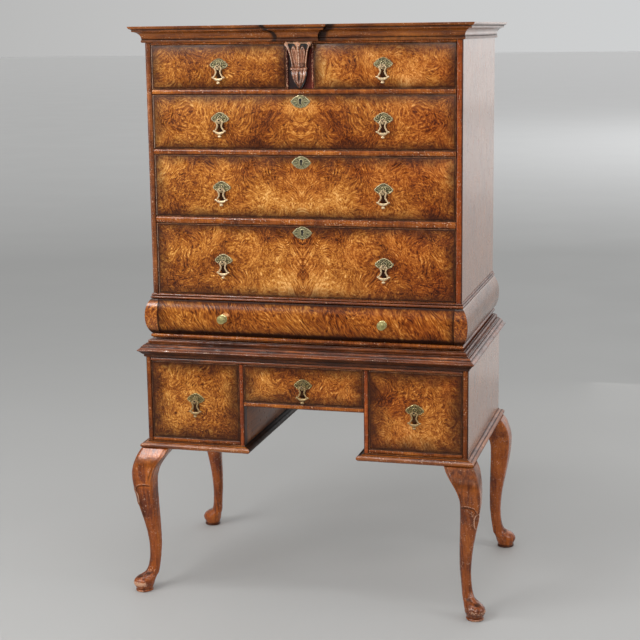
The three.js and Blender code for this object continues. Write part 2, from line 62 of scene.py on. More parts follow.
# ------------------------------------------------------------------ materials
class Nodes:
    """A material's node tree with short names for what the woods and the brass use."""

    def __init__(self, name):
        self.m = bpy.data.materials.new(name)
        self.m.use_nodes = True
        self.t = self.m.node_tree
        self.t.nodes.clear()
        out = self.t.nodes.new("ShaderNodeOutputMaterial")
        self.b = self.t.nodes.new("ShaderNodeBsdfPrincipled")
        self.t.links.new(self.b.outputs[0], out.inputs[0])

    def node(self, kind, **props):
        n = self.t.nodes.new("ShaderNode" + kind)
        for k, v in props.items():
            setattr(n, k, v)
        return n

    def put(self, sock, v):
        if isinstance(v, bpy.types.NodeSocket):
            self.t.links.new(v, sock)
        elif v is not None:
            sock.default_value = v

    def math(self, op, a, b=None, c=None, clamp=False):
        n = self.node("Math", operation=op, use_clamp=clamp)
        for s, v in zip(n.inputs, (a, b, c)):
            self.put(s, v)
        return n.outputs[0]

    def vec(self, op, a, b=None, scale=None):
        n = self.node("VectorMath", operation=op)
        self.put(n.inputs[0], a)
        if b is not None:
            self.put(n.inputs[1], b)
        if scale is not None:
            self.put(n.inputs["Scale"], scale)
        return n.outputs[0]

    def xyz(self, v):
        n = self.node("SeparateXYZ")
        self.put(n.inputs[0], v)
        return n.outputs

    def join(self, x, y, z=0.0):
        n = self.node("CombineXYZ")
        for s, v in zip(n.inputs, (x, y, z)):
            self.put(s, v)
        return n.outputs[0]

    def noise(self, v, scale, detail=2.0, rough=0.5, dist=0.0, color=False):
        n = self.node("TexNoise")
        self.put(n.inputs["Vector"], v)
        n.inputs["Scale"].default_value = scale
        n.inputs["Detail"].default_value = detail
        n.inputs["Roughness"].default_value = rough
        n.inputs["Distortion"].default_value = dist
        return n.outputs["Color" if color else "Fac"]

    def cells(self, v, scale, rand=1.0, out="Distance", feature="F1"):
        n = self.node("TexVoronoi", feature=feature)
        self.put(n.inputs["Vector"], v)
        n.inputs["Scale"].default_value = scale
        n.inputs["Randomness"].default_value = rand
        return n.outputs[out]

    def gabor(self, v, scale, freq, angle, aniso=1.0):
        n = self.node("TexGabor", gabor_type="2D")
        self.put(n.inputs["Vector"], v)
        n.inputs["Scale"].default_value = scale
        n.inputs["Frequency"].default_value = freq
        n.inputs["Anisotropy"].default_value = aniso
        self.put(n.inputs[4], angle)
        return n.outputs["Value"]

    def map(self, v, a, b, c=0.0, d=1.0, soft=True):
        n = self.node("MapRange", interpolation_type="SMOOTHSTEP" if soft else "LINEAR")
        for s, x in zip(n.inputs, (v, a, b, c, d)):
            self.put(s, x)
        return n.outputs[0]

    def ramp(self, fac, stops, interp="EASE"):
        n = self.node("ValToRGB")
        n.color_ramp.interpolation = interp
        e = n.color_ramp.elements
        while len(e) < len(stops):
            e.new(0.5)
        for x, (p, c) in zip(e, stops):
            x.position = p
            x.color = (*lin(c), 1)
        self.put(n.inputs[0], fac)
        return n.outputs[0]

    def mix(self, fac, a, b, mode="MIX"):
        n = self.node("Mix", data_type="RGBA", blend_type=mode)
        self.put(n.inputs[0], fac)
        for s, v in ((n.inputs[6], a), (n.inputs[7], b)):
            self.put(s, v if isinstance(v, bpy.types.NodeSocket) else (*lin(v), 1))
        return n.outputs[2]

    def attr(self, name):
        return self.node("Attribute", attribute_name=name).outputs["Fac"]

    def uv(self):
        return self.node("UVMap", uv_map="grain").outputs[0]

    def obj(self):
        return self.node("TexCoord").outputs["Object"]

    def bump(self, height, dist, strength=1.0, normal=None):
        n = self.node("Bump")
        n.inputs["Strength"].default_value = strength
        n.inputs["Distance"].default_value = dist
        self.put(n.inputs["Height"], height)
        if normal is not None:
            self.put(n.inputs["Normal"], normal)
        return n.outputs[0]

    def shader(self, color, rough, normal=None, metal=None, coat=0.0, coat_rough=0.1, ior=1.5, spec=0.5):
        b = self.b.inputs
        self.put(b["Base Color"], color)
        self.put(b["Roughness"], rough)
        if normal is not None:
            self.put(b["Normal"], normal)
        if metal is not None:
            self.put(b["Metallic"], metal)
        b["IOR"].default_value = ior
        b["Specular IOR Level"].default_value = spec
        b["Coat Weight"].default_value = coat
        b["Coat Roughness"].default_value = coat_rough
        return self.m


def lin(c):
    """An 0 to 255 display colour as the linear values that a shader takes."""
    return tuple((v / 255 / 12.92) if v / 255 <= 0.04045 else ((v / 255 + 0.055) / 1.055) ** 2.4 for v in c)


BURR = [(0.0, (34, 13, 6)), (0.2, (72, 33, 12)), (0.4, (126, 67, 23)), (0.56, (166, 101, 37)), (0.74, (206, 143, 66)), (1.0, (242, 192, 118))]


def burr(name, hw, hh, off, book=False, lean=0.0, stretch=1.0, border=1.0, tone=0.0, crotch=0.0, calm=1.0, low=0.0, stops=BURR, pulls=(), rubs=(), shadow_line_at=0.0, cx=0.0, arris=0.0, gloss=0.05, high=0.0, spec=0.17):
    """Burr walnut veneer on a face of half size hw, hh metres: mottled clouds, short feathery
    strokes that follow a swirling flow, crinkles, small knots, darker borders, and painted shade, shadows and glare."""
    g = Nodes(name)
    uv = g.uv()
    x, y, _ = g.xyz(uv)
    ax = g.math("ABSOLUTE", x)
    px = ax if book else x
    p = g.join(g.math("ADD", px, off[0]), g.math("ADD", y, off[1]), off[2])
    if lean or stretch != 1.0:
        r = g.node("VectorRotate", rotation_type="Z_AXIS")
        g.put(r.inputs["Vector"], p)
        r.inputs["Angle"].default_value = lean
        p = g.vec("MULTIPLY", r.outputs[0], (1.0, 1.0 / stretch, 1.0))
    half = (0.5, 0.5, 0.5)
    q1 = g.vec("ADD", p, g.vec("SCALE", g.vec("SUBTRACT", g.noise(p, 9, 2, 0.5, color=True), half), scale=0.10))
    q = g.vec("ADD", q1, g.vec("SCALE", g.vec("SUBTRACT", g.noise(p, 40, 2, 0.6, color=True), half), scale=0.020))
    cloud = g.noise(q1, 9.0, 5, 0.60)
    big = g.noise(p, 3.2, 2, 0.5)
    s1 = g.noise(g.vec("MULTIPLY", q, (150.0, 44.0, 1.0)), 1, 3, 0.62)
    s2 = g.noise(g.vec("MULTIPLY", g.vec("ADD", q, (2.3, 0.9, 0.0)), (52.0, 170.0, 1.0)), 1, 3, 0.62)
    pick = g.map(g.noise(g.vec("ADD", p, (7.7, 2.2, 0.9)), 15, 2, 0.5), 0.47, 0.56)
    stroke = g.math("MULTIPLY_ADD", g.math("SUBTRACT", s2, s1), pick, s1)
    stroke2 = g.noise(g.vec("MULTIPLY", g.vec("ADD", q, (5.3, 4.9, 0.0)), (300.0, 110.0, 1.0)), 1, 2, 0.6)
    flow = g.math("MULTIPLY", g.math("SUBTRACT", g.noise(p, 7.5, 2, 0.5), 0.5), 13.0)
    if crotch:
        near = g.map(ax, 0.006, 0.075, crotch, 0.0)
        flow = g.math("MULTIPLY_ADD", g.math("SUBTRACT", -0.62, flow), near, flow)
    feather = g.gabor(g.vec("ADD", q1, (1.7, 0.6, 0.0)), 44, 2.7, flow)
    hair = g.gabor(q, 92, 2.5, g.math("MULTIPLY_ADD", g.math("SUBTRACT", g.noise(p, 26, 2, 0.5), 0.5), 5.0, flow))
    gleam = g.math("MULTIPLY", g.map(feather, 0.60, 0.86), g.map(g.noise(q, 48, 3, 0.6), 0.44, 0.62))
    crease = g.map(g.math("ABSOLUTE", g.math("SUBTRACT", g.noise(q, 44, 2, 0.55), 0.5)), 0.0, 0.035, 1, 0)
    crease2 = g.map(g.math("ABSOLUTE", g.math("SUBTRACT", g.noise(g.vec("ADD", q, (3.1, 1.7, 0.4)), 70, 2, 0.55), 0.5)), 0.0, 0.03, 1, 0)
    curl = g.math("SINE", g.math("MULTIPLY", g.noise(q, 15, 1.5, 0.5), 105))
    fine = g.noise(q, 340, 3, 0.65)
    speck = g.noise(q, 130, 3, 0.6)
    knots = g.map(g.cells(q, 62), 0.05, 0.26, 1, 0)
    knots = g.math("MULTIPLY", knots, g.map(g.noise(g.vec("ADD", p, (1.3, 5.1, 0.2)), 10, 1), 0.5, 0.64))
    pepper = g.noise(g.vec("ADD", q, (0.9, 6.1, 0.3)), 215, 2, 0.55)
    v = g.math("MULTIPLY_ADD", g.math("SUBTRACT", cloud, 0.5), 1.3 * calm, 0.50 + tone)
    for part, amount in ((big, 0.50 * calm), (stroke, 0.52 * (0.5 + 0.5 * calm)), (stroke2, 0.58), (speck, 0.36), (pepper, 0.38), (fine, 0.74), (feather, 0.27), (hair, 0.33)):
        v = g.math("MULTIPLY_ADD", g.math("SUBTRACT", part, 0.5), amount, v)
    v = g.math("MULTIPLY_ADD", curl, 0.022, v)
    v = g.math("MULTIPLY_ADD", gleam, 0.21, v)
    gloom = g.math("MULTIPLY", g.map(hair, 0.36, 0.14), g.map(g.noise(g.vec("ADD", q, (0.7, 3.9, 0.1)), 36, 3, 0.6), 0.44, 0.60))
    v = g.math("MULTIPLY_ADD", gloom, -0.21, v)
    v = g.math("MULTIPLY_ADD", crease, 0.10 * calm, v)
    v = g.math("MULTIPLY_ADD", crease2, -0.09 * calm, v)
    if crotch:
        # a feather that opens upwards from the middle joint
        c = g.math("MULTIPLY_ADD", ax, -1.5, y)
        c = g.math("MULTIPLY_ADD", g.math("SUBTRACT", g.noise(p, 30, 2), 0.5), 0.012, c)
        f = g.noise(g.join(g.math("MULTIPLY", c, 120), g.math("MULTIPLY", ax, 16)), 1, 3, 0.6)
        wt_ = g.map(ax, 0.004, 0.085, crotch, 0.0)
        v = g.math("MULTIPLY_ADD", g.math("SUBTRACT", f, 0.5), g.math("MULTIPLY", wt_, 1.5), v)
        v = g.math("MULTIPLY_ADD", g.map(ax, 0.0004, 0.0022, 1, 0), -0.14 * crotch, v)
    v = g.math("MULTIPLY_ADD", knots, -0.24, v, clamp=True)
    col = g.ramp(v, stops)
    hue = g.map(g.noise(g.vec("ADD", p, (4.4, 8.1, 0.3)), 12, 2), 0.38, 0.62)
    # paler and less orange towards the left of the case: a painted glare from the lamps on the left; cx places each
    # front along the case
    left_glare_fade = g.map(x, -0.38 - cx, 0.38 - cx, 0.08, 0.50, soft=False)
    col = g.mix(g.math("MULTIPLY", g.math("MULTIPLY_ADD", hue, 0.45, 0.55), left_glare_fade), col, (228, 140, 46), "MULTIPLY")
    # border: darker along the edges and in the corners, uneven; near the rim a dark painted shadow line stands in for
    # the shade of the gap round the drawer
    dx = g.math("SUBTRACT", hw, ax)
    dy = g.math("SUBTRACT", hh, g.math("ABSOLUTE", y))
    wob = g.math("MULTIPLY", g.math("SUBTRACT", g.noise(uv, 24, 4, 0.62), 0.5), 0.050 * border)
    edge = g.math("ADD", g.math("SMOOTH_MIN", dx, g.math("MULTIPLY", dy, 1.35), 0.014), wob)
    shade = g.map(edge, -0.007, 0.044 * border, 0.92, 0.0)
    rim = g.math("SMOOTH_MIN", dx, dy, 0.001)
    line = g.math("MULTIPLY", g.map(rim, 0.0018, 0.0058, 0.82, 0.0), g.map(rim, 0.0006, 0.0014, 0.45, 1.0))
    line = g.math("MULTIPLY", line, g.map(g.noise(uv, 16, 2), 0.32, 0.6, 0.5, 1.0))
    # painted shade over the lower part of the face, and painted shadow lines along its bottom and top edges where the
    # rail and the moulding shade it
    if low:
        shade = g.math("MAXIMUM", shade, g.map(g.math("ADD", g.math("ADD", y, hh), wob), -0.002, 0.034, low, 0.0))
        line = g.math("MAXIMUM", line, g.map(g.math("MULTIPLY_ADD", wob, 0.25, g.math("ADD", y, hh)), shadow_line_at, shadow_line_at + 0.009, 0.94, 0.0))
        line = g.math("MAXIMUM", line, g.map(g.math("SUBTRACT", hh, y), shadow_line_at * 0.35, shadow_line_at * 0.35 + 0.006, 0.85, 0.0))
    # painted shadow under the waist moulding along the top of the face, with some grime
    if high:
        top = g.map(g.math("MULTIPLY_ADD", wob, 0.4, g.math("SUBTRACT", hh, y)), 0.003, 0.027, high, 0.0)
        shade = g.math("MAXIMUM", shade, g.math("MULTIPLY", top, g.map(g.noise(g.vec("MULTIPLY", uv, (90.0, 14.0, 1.0)), 1, 3, 0.6), 0.30, 0.62, 1.0, 0.45)))
    col = g.mix(shade, col, (54, 24, 11), "MIX")
    col = g.mix(line, col, (30, 13, 8), "MIX")
    # a painted highlight along the left arris, where the lamps on the left catch the edge
    if arris:
        near = g.map(g.math("ADD", x, hw), 0.0003, 0.0021, arris, 0.0)
        col = g.mix(g.math("MULTIPLY", near, g.map(g.noise(uv, 90, 3, 0.6), 0.34, 0.52)), col, (206, 180, 160))
    # painted shadow and grime behind the drops, and the polish rubbed thin beside a knob
    for qx, qy in pulls:
        ex = g.math("MULTIPLY", g.math("SUBTRACT", x, qx), 1 / 0.0082)
        ey = g.math("MULTIPLY", g.math("SUBTRACT", y, qy - 0.0165), 1 / 0.0135)
        dd = g.math("SQRT", g.math("ADD", g.math("MULTIPLY", ex, ex), g.math("MULTIPLY", ey, ey)))
        col = g.mix(g.map(g.math("MULTIPLY_ADD", g.math("SUBTRACT", g.noise(uv, 160, 2), 0.5), 0.5, dd), 0.85, 1.35, 0.9, 0.0), col, (20, 10, 7))
    for qx, qy, rx, ry in rubs:
        ex = g.math("MULTIPLY", g.math("SUBTRACT", x, qx), 1 / rx)
        ey = g.math("MULTIPLY", g.math("SUBTRACT", y, qy), 1 / ry)
        dd = g.math("SQRT", g.math("ADD", g.math("MULTIPLY", ex, ex), g.math("MULTIPLY", ey, ey)))
        col = g.mix(g.map(g.math("MULTIPLY_ADD", g.math("SUBTRACT", g.noise(uv, 220, 3, 0.65), 0.5), 1.6, dd), 0.5, 1.1, 0.8, 0.0), col, (232, 168, 112))
    # rounded edges and rubbed spots are paled: wear, and on the bevels a painted sheen where the edges catch the light
    wear_and_sheen = g.map(g.math("ADD", g.attr("wear_and_sheen"), g.math("MULTIPLY", g.noise(uv, 420, 2), 0.5)), 0.62, 0.92)
    wear_and_sheen = g.math("MULTIPLY", wear_and_sheen, g.map(g.noise(uv, 55, 3, 0.6), 0.38, 0.62, 0.22, 0.85))
    col = g.mix(wear_and_sheen, col, (176, 118, 80))
    rough = g.map(g.noise(uv, 30, 3, 0.6), 0.3, 0.7, 0.24, 0.36)
    rough = g.math("MULTIPLY_ADD", wear_and_sheen, 0.15, rough)
    h = g.math("ADD", g.math("MULTIPLY", fine, 0.5), g.math("MULTIPLY", feather, 0.9))
    h = g.math("MULTIPLY_ADD", hair, 0.6, h)
    nrm = g.bump(h, 0.00016, 0.45, g.bump(g.noise(uv, 9, 2), 0.0011, 0.22))
    return g.shader(col, rough, nrm, coat=gloss, coat_rough=0.12, spec=spec)


def grained(name, stops, coord="uv", cross=0.35, ripple=0.0, rough=(0.25, 0.4), wear_sheen_col=(214, 164, 120), dirt_shade_col=(24, 12, 8), coat=0.38,
            coat_rough=0.1, axis=2, dirt_and_shade=1.0, scale=1.0, pale=0.0, bumps=0.3, spec=0.42, wave=0.16, contrast=1.0, below=None):
    """Straight-grained or cross-grained walnut or oak. The grain runs along the map's first
    axis, or along an axis of the piece. cross is how strongly bands run across the length."""
    g = Nodes(name)
    if coord == "uv":
        base = g.uv()
        u, v, _ = g.xyz(base)
        long_ = g.join(g.math("MULTIPLY", u, 5 * scale), g.math("MULTIPLY", v, 210 * scale))
        mid = g.join(g.math("MULTIPLY", u, 9 * scale), g.math("MULTIPLY", v, 60 * scale))
        across = g.join(g.math("MULTIPLY", u, 330 * scale), g.math("MULTIPLY", v, 22 * scale))
        broad = g.join(g.math("MULTIPLY", u, 60 * scale), g.math("MULTIPLY", v, 9 * scale))
    else:
        base = g.obj()
        k = [210 * scale] * 3
        k[axis] = 6 * scale
        long_ = g.vec("MULTIPLY", base, tuple(k))
        k = [60 * scale] * 3
        k[axis] = 7 * scale
        mid = g.vec("MULTIPLY", base, tuple(k))
        k = [30 * scale] * 3
        k[axis] = 260 * scale
        across = g.vec("MULTIPLY", base, tuple(k))
        k = [12 * scale] * 3
        k[axis] = 45 * scale
        broad = g.vec("MULTIPLY", base, tuple(k))
    fibre = g.noise(long_, 1, 3, 0.6)
    band = g.noise(mid, 1, 3, 0.5, 0.5)
    cloud = g.noise(base, 11 * scale, 3, 0.55)
    cr = g.noise(across, 1, 3, 0.6)
    cb = g.noise(broad, 1, 2, 0.5)
    val = g.math("MULTIPLY_ADD", g.math("SUBTRACT", band, 0.5), 0.9 * contrast, 0.5)
    val = g.math("MULTIPLY_ADD", g.math("SUBTRACT", fibre, 0.5), 0.55, val)
    val = g.math("MULTIPLY_ADD", g.math("SUBTRACT", cloud, 0.5), 0.7 * contrast, val)
    val = g.math("MULTIPLY_ADD", g.math("SUBTRACT", cr, 0.5), cross * 1.5, val)
    val = g.math("MULTIPLY_ADD", g.math("SUBTRACT", cb, 0.5), cross * 1.3, val, clamp=True)
    col = g.ramp(val, stops)
    pores = g.map(g.noise(g.vec("MULTIPLY", long_, (3.0, 3.0, 3.0)), 1, 1), 0.30, 0.40, 1, 0)
    col = g.mix(g.math("MULTIPLY", pores, 0.35), col, (30, 14, 8))
    if ripple:
        rp = g.map(g.noise(across, 0.6, 2), 0.62, 0.74)
        col = g.mix(g.math("MULTIPLY", rp, ripple), col, (212, 150, 108))
    if below:
        z0, z1, tint, amount = below
        hz = g.math("MULTIPLY_ADD", g.math("SUBTRACT", g.noise(base, 20, 2), 0.5), 0.03, g.xyz(base)[2])
        col = g.mix(g.map(hz, z0, z1, amount, 0.0), col, tint, "MULTIPLY")
    if pale:
        sp = g.noise(g.vec("MULTIPLY", base, (210, 330, 1.0)), 1, 2, 0.6) if coord == "uv" else g.noise(base, 300, 2, 0.6)
        sp = g.math("MULTIPLY", g.map(sp, 0.60, 0.66), g.map(g.noise(base, 30 if coord == "uv" else 46, 3, 0.6), 0.46, 0.60, 0.1, 1.0))
        col = g.mix(g.math("MULTIPLY", sp, pale), col, (232, 192, 158))
    # darkened where the mesh marks dirt and painted shade: in hollows, creases and under parts
    d = g.map(g.math("ADD", g.attr("dirt_and_shade"), g.math("MULTIPLY", g.math("SUBTRACT", g.noise(base, 90, 3), 0.5), 0.5)), 0.15, 0.95, 0.0, 0.86 * dirt_and_shade)
    col = g.mix(d, col, dirt_shade_col)
    # paled where the mesh marks wear and painted highlights: on edges, ridges and chosen strips
    w = g.math("ADD", g.attr("wear_and_sheen"), g.math("MULTIPLY", g.math("SUBTRACT", g.noise(base, 330, 3, 0.65), 0.5), 1.15))
    w = g.math("MULTIPLY_ADD", g.math("SUBTRACT", g.noise(base, 40, 3, 0.6), 0.5), 0.5, w)
    w = g.map(w, 0.56, 0.74)
    col = g.mix(g.math("MULTIPLY", w, 0.85), col, wear_sheen_col)
    r = g.map(g.noise(base, 34, 3, 0.6), 0.3, 0.7, rough[0], rough[1])
    r = g.math("MULTIPLY_ADD", w, 0.18, r)
    r = g.math("MULTIPLY_ADD", d, 0.22, r, clamp=True)
    h = g.math("ADD", g.math("MULTIPLY", fibre, 0.6), g.math("MULTIPLY", pores, -0.5))
    nrm = g.bump(h, 0.00015, bumps, g.bump(g.noise(base, 17, 2), 0.0007, wave))
    g.shader(col, r, nrm, coat=coat, coat_rough=coat_rough, spec=spec)
    if coat > 0.2:
        g.put(g.b.inputs["Coat Weight"], g.map(d, 0.06, 0.5, coat, 0.04))
    return g.m


def brass(name, light, mid, dark, green, shiny, metallic=0.95, speckle=0.0):
    g = Nodes(name)
    p = g.obj()
    cl = g.noise(p, 150, 4, 0.62)
    fine = g.noise(p, 900, 3, 0.6)
    dirt_and_shade = g.map(g.math("MULTIPLY_ADD", g.math("SUBTRACT", cl, 0.5), 0.9, g.attr("dirt_and_shade")), 0.18, 0.95, 0.0, 0.85)
    wear_and_sheen = g.map(g.math("MULTIPLY_ADD", g.math("SUBTRACT", fine, 0.5), 0.5, g.attr("wear_and_sheen")), 0.20, 0.75)
    col = g.mix(g.map(cl, 0.35, 0.68), mid, dark)
    col = g.mix(g.math("MULTIPLY", g.map(g.noise(p, 210, 3), 0.52, 0.68), green), col, (86, 110, 78))
    if speckle:
        col = g.mix(g.math("MULTIPLY", g.map(g.noise(p, 310, 2, 0.6), 0.505, 0.585), speckle), col, (30, 31, 21))
    col = g.mix(dirt_and_shade, col, (26, 22, 14))
    col = g.mix(g.math("MULTIPLY", wear_and_sheen, shiny), col, light)
    rough = g.math("MULTIPLY_ADD", wear_and_sheen, -0.16, g.map(cl, 0.3, 0.7, 0.34, 0.52))
    rough = g.math("MULTIPLY_ADD", dirt_and_shade, 0.2, rough, clamp=True)
    metal = g.map(dirt_and_shade, 0, 1, metallic, metallic * 0.4)
    nrm = g.bump(g.math("ADD", fine, g.math("MULTIPLY", cl, 1.5)), 0.00018, 0.5)
    return g.shader(col, rough, nrm, metal=metal, coat=0.0)


M = {}
M["rail"] = grained("walnut_rail", [(0.0, (64, 26, 9)), (0.3, (103, 48, 15)), (0.55, (141, 73, 22)), (0.8, (174, 100, 36)), (1.0, (202, 132, 64))],
                    cross=0.5, rough=(0.18, 0.30), pale=0.85, coat=0.24, coat_rough=0.07, spec=0.2)
M["stile"] = grained("walnut_stile", [(0.0, (64, 23, 8)), (0.3, (104, 42, 12)), (0.55, (142, 64, 18)), (0.8, (176, 90, 30)), (1.0, (206, 126, 58))],
                     cross=0.30, rough=(0.18, 0.30), pale=0.55, coat=0.24, coat_rough=0.07, spec=0.2)
# a paler, less saturated copy of the stile walnut with a pale edge colour, standing in for the left stile lit from the
# left
M["stile_left"] = grained("walnut_stile_left_lit", [(0.0, (58, 26, 11)), (0.3, (94, 46, 19)), (0.55, (128, 70, 32)), (0.8, (158, 94, 48)), (1.0, (190, 128, 76))],
                          cross=0.30, rough=(0.18, 0.30), pale=0.7, coat=0.24, coat_rough=0.07, spec=0.2, wear_sheen_col=(226, 202, 186))
M["stile_stand"] = grained("walnut_stile_stand", [(0.0, (44, 17, 6)), (0.3, (78, 33, 11)), (0.55, (112, 54, 18)), (0.8, (142, 78, 30)), (1.0, (176, 114, 58))],
                           cross=0.30, rough=(0.22, 0.34), pale=0.6, coat=0.08, coat_rough=0.10, spec=0.14, wear_sheen_col=(206, 156, 108))
M["cornice"] = grained("walnut_cornice", [(0.0, (58, 25, 9)), (0.3, (98, 48, 16)), (0.55, (138, 75, 26)), (0.8, (172, 101, 41)), (1.0, (200, 132, 66))],
                       cross=0.12, rough=(0.18, 0.30), pale=0.5, coat=0.34, coat_rough=0.10, spec=0.22, wear_sheen_col=(226, 190, 156), dirt_and_shade=1.1)
M["cornice_side"] = grained("walnut_cornice_side", [(0.0, (72, 34, 14)), (0.3, (104, 54, 22)), (0.55, (134, 74, 30)), (0.8, (158, 92, 40)), (1.0, (182, 116, 58))],
                            cross=0.04, rough=(0.20, 0.24), pale=0.2, coat=0.34, coat_rough=0.14, spec=0.3, wear_sheen_col=(226, 190, 156), bumps=0.04, wave=0.0, dirt_and_shade=1.1)
M["mould"] = grained("walnut_moulding", [(0.0, (44, 17, 6)), (0.3, (78, 34, 11)), (0.55, (114, 55, 17)), (0.8, (150, 82, 30)), (1.0, (186, 116, 58))],
                     cross=0.12, rough=(0.16, 0.28), pale=0.35, coat=0.55, coat_rough=0.09, spec=0.28, wear_sheen_col=(236, 206, 172), dirt_shade_col=(14, 7, 5), dirt_and_shade=1.1)
M["base"] = grained("walnut_base_moulding", [(0.0, (58, 24, 9)), (0.3, (98, 46, 16)), (0.55, (138, 74, 26)), (0.8, (176, 104, 42)), (1.0, (212, 146, 78))],
                    cross=0.15, rough=(0.16, 0.28), pale=0.8, coat=0.6, coat_rough=0.10, spec=0.28, dirt_shade_col=(16, 8, 5), dirt_and_shade=1.1)
PANEL_STOPS = [(0.0, (82, 43, 20)), (0.3, (111, 62, 29)), (0.55, (139, 82, 40)), (0.8, (161, 101, 52)), (1.0, (180, 119, 67))]
M["panel"] = grained("walnut_panel", PANEL_STOPS, cross=0.05, rough=(0.25, 0.28), coat=0.45, coat_rough=0.20, bumps=0.02, spec=0.5, wave=0.0, contrast=0.85)
# brighter and darker copies of the panel walnut, standing in for more light on the stand's sides and less on the
# cushion's sides
M["panel_stand"] = grained("walnut_panel_stand", [(p, tuple(int(v * 1.10) for v in c)) for p, c in PANEL_STOPS], cross=0.05, rough=(0.25, 0.28), coat=0.92, coat_rough=0.20, bumps=0.02, spec=0.5, wave=0.0, contrast=0.85)
M["panel_low"] = grained("walnut_cushion_side", [(p, tuple(int(v * 0.84) for v in c)) for p, c in PANEL_STOPS], cross=0.08, rough=(0.25, 0.29), coat=0.2, coat_rough=0.20, bumps=0.03, spec=0.4, wave=0.0)
M["wall"] = grained("walnut_wall", [(p, tuple(int(v * 0.95) for v in c)) for p, c in PANEL_STOPS], cross=0.08, rough=(0.26, 0.34), coat=0.14, coat_rough=0.18, spec=0.28, wave=0.0)
# very dark red walnut for the sunk panel and the bracket's back slab: partly the wood's colour, partly painted shade in
# the recess
M["recess_shaded"] = grained("walnut_recess_shaded", [(0.0, (30, 8, 6)), (0.3, (58, 15, 10)), (0.55, (86, 24, 14)), (0.8, (112, 40, 22)), (1.0, (140, 64, 38))],
                      cross=0.1, rough=(0.28, 0.40), coat=0.1, spec=0.2, wear_sheen_col=(224, 174, 136), dirt_shade_col=(8, 4, 3))
M["mould_side"] = grained("walnut_moulding_side", [(0.0, (44, 17, 7)), (0.3, (78, 33, 12)), (0.55, (114, 54, 18)), (0.8, (150, 80, 30)), (1.0, (186, 116, 60))],
                          cross=0.12, rough=(0.26, 0.36), pale=0.2, coat=0.10, coat_rough=0.10, spec=0.3)
M["base_side"] = grained("walnut_base_side", [(0.0, (58, 24, 9)), (0.3, (98, 46, 16)), (0.55, (138, 74, 26)), (0.8, (176, 104, 42)), (1.0, (212, 146, 78))],
                         cross=0.15, rough=(0.26, 0.36), pale=0.4, coat=0.05, coat_rough=0.10, spec=0.24)
# a much darker copy of the base walnut for the inner runs in the kneehole: painted shade
M["base_inner_shaded"] = grained("walnut_base_inner_shaded", [(0.0, (16, 7, 4)), (0.3, (30, 14, 7)), (0.55, (44, 23, 11)), (0.8, (60, 33, 16)), (1.0, (84, 52, 28))],
                          cross=0.15, rough=(0.34, 0.44), pale=0.1, coat=0.0, spec=0.08)
# the leg walnut and a brighter copy of it; the brighter copy, on the front left and both back legs, stands in for more
# light on them
for key, gain in (("leg", 1.0), ("leg_lit", 1.13)):
    M[key] = grained("walnut_" + key, [(p, tuple(int(v * gain) for v in c)) for p, c in [(0.0, (52, 21, 8)), (0.3, (101, 46, 14)), (0.55, (151, 78, 23)), (0.8, (190, 108, 37)), (1.0, (216, 140, 64))]],
                     coord="obj", cross=0.10, ripple=0.0, rough=(0.18, 0.30), pale=0.45, coat=0.50, coat_rough=0.22, wear_sheen_col=(206, 160, 130), spec=0.18, contrast=0.9,
                     bumps=0.12, wave=0.1, below=(0.262, 0.292, (224, 214, 212), 0.9))
M["corbel"] = grained("walnut_carving", [(0.0, (54, 26, 16)), (0.3, (106, 60, 38)), (0.55, (156, 100, 70)), (0.8, (196, 140, 106)), (1.0, (222, 178, 148))],
                      coord="obj", cross=0.4, rough=(0.11, 0.20), coat=1.0, coat_rough=0.05, wear_sheen_col=(232, 196, 168), dirt_shade_col=(6, 3, 3), spec=0.6, dirt_and_shade=1.15, bumps=0.5, contrast=1.6)
# a darker copy of the carving walnut for the scrolls and flower at the top of the bracket: painted shade under the
# cornice
M["corbel_top"] = grained("walnut_carving_top", [(0.0, (40, 17, 9)), (0.3, (78, 38, 20)), (0.55, (120, 66, 36)), (0.8, (158, 96, 58)), (1.0, (190, 132, 92))],
                          coord="obj", cross=0.4, rough=(0.14, 0.24), coat=0.7, coat_rough=0.07, wear_sheen_col=(202, 146, 108), dirt_shade_col=(6, 3, 3), spec=0.4, dirt_and_shade=1.2, bumps=0.5, contrast=1.6)
M["oak"] = grained("oak_inner", [(0.0, (104, 74, 42)), (0.3, (140, 104, 62)), (0.55, (166, 128, 82)), (0.8, (184, 148, 100)), (1.0, (202, 170, 124))],
                   cross=0.1, rough=(0.5, 0.68), coat=0.0, wear_sheen_col=(206, 178, 134), dirt_shade_col=(70, 48, 30), bumps=0.6)
M["pine"] = grained("pine_back", [(0.0, (98, 62, 36)), (0.3, (132, 90, 54)), (0.55, (158, 112, 70)), (0.8, (176, 132, 86)), (1.0, (192, 152, 108))],
                    cross=0.1, rough=(0.55, 0.75), coat=0.0, wear_sheen_col=(190, 156, 112), dirt_shade_col=(50, 34, 22), bumps=0.7, scale=0.6)
M["brass_plate"] = brass("aged_brass_plate", (214, 198, 156), (152, 138, 96), (92, 82, 54), 0.35, 0.65, 0.7, 0.9)
M["brass_plate_low"] = brass("aged_brass_plate_dull", (190, 170, 118), (142, 120, 72), (88, 70, 42), 0.4, 0.55, 0.7, 0.8)
M["brass_drop"] = brass("aged_brass_drop", (224, 196, 154), (176, 148, 106), (108, 84, 56), 0.12, 0.75, 0.45)
M["brass_drop_low"] = brass("aged_brass_drop_dull", (196, 164, 114), (134, 106, 66), (84, 62, 38), 0.3, 0.6, 0.5, 0.4)
M["brass_key"] = brass("aged_brass_key", (178, 168, 132), (146, 136, 98), (112, 104, 72), 0.3, 0.5, 0.55)
M["brass_knob"] = brass("aged_brass_knob", (206, 196, 140), (170, 160, 104), (128, 120, 74), 0.2, 0.6, 0.55)
M["pin"] = brass("dark_pin", (92, 80, 60), (58, 48, 36), (36, 30, 24), 0.0, 0.5)
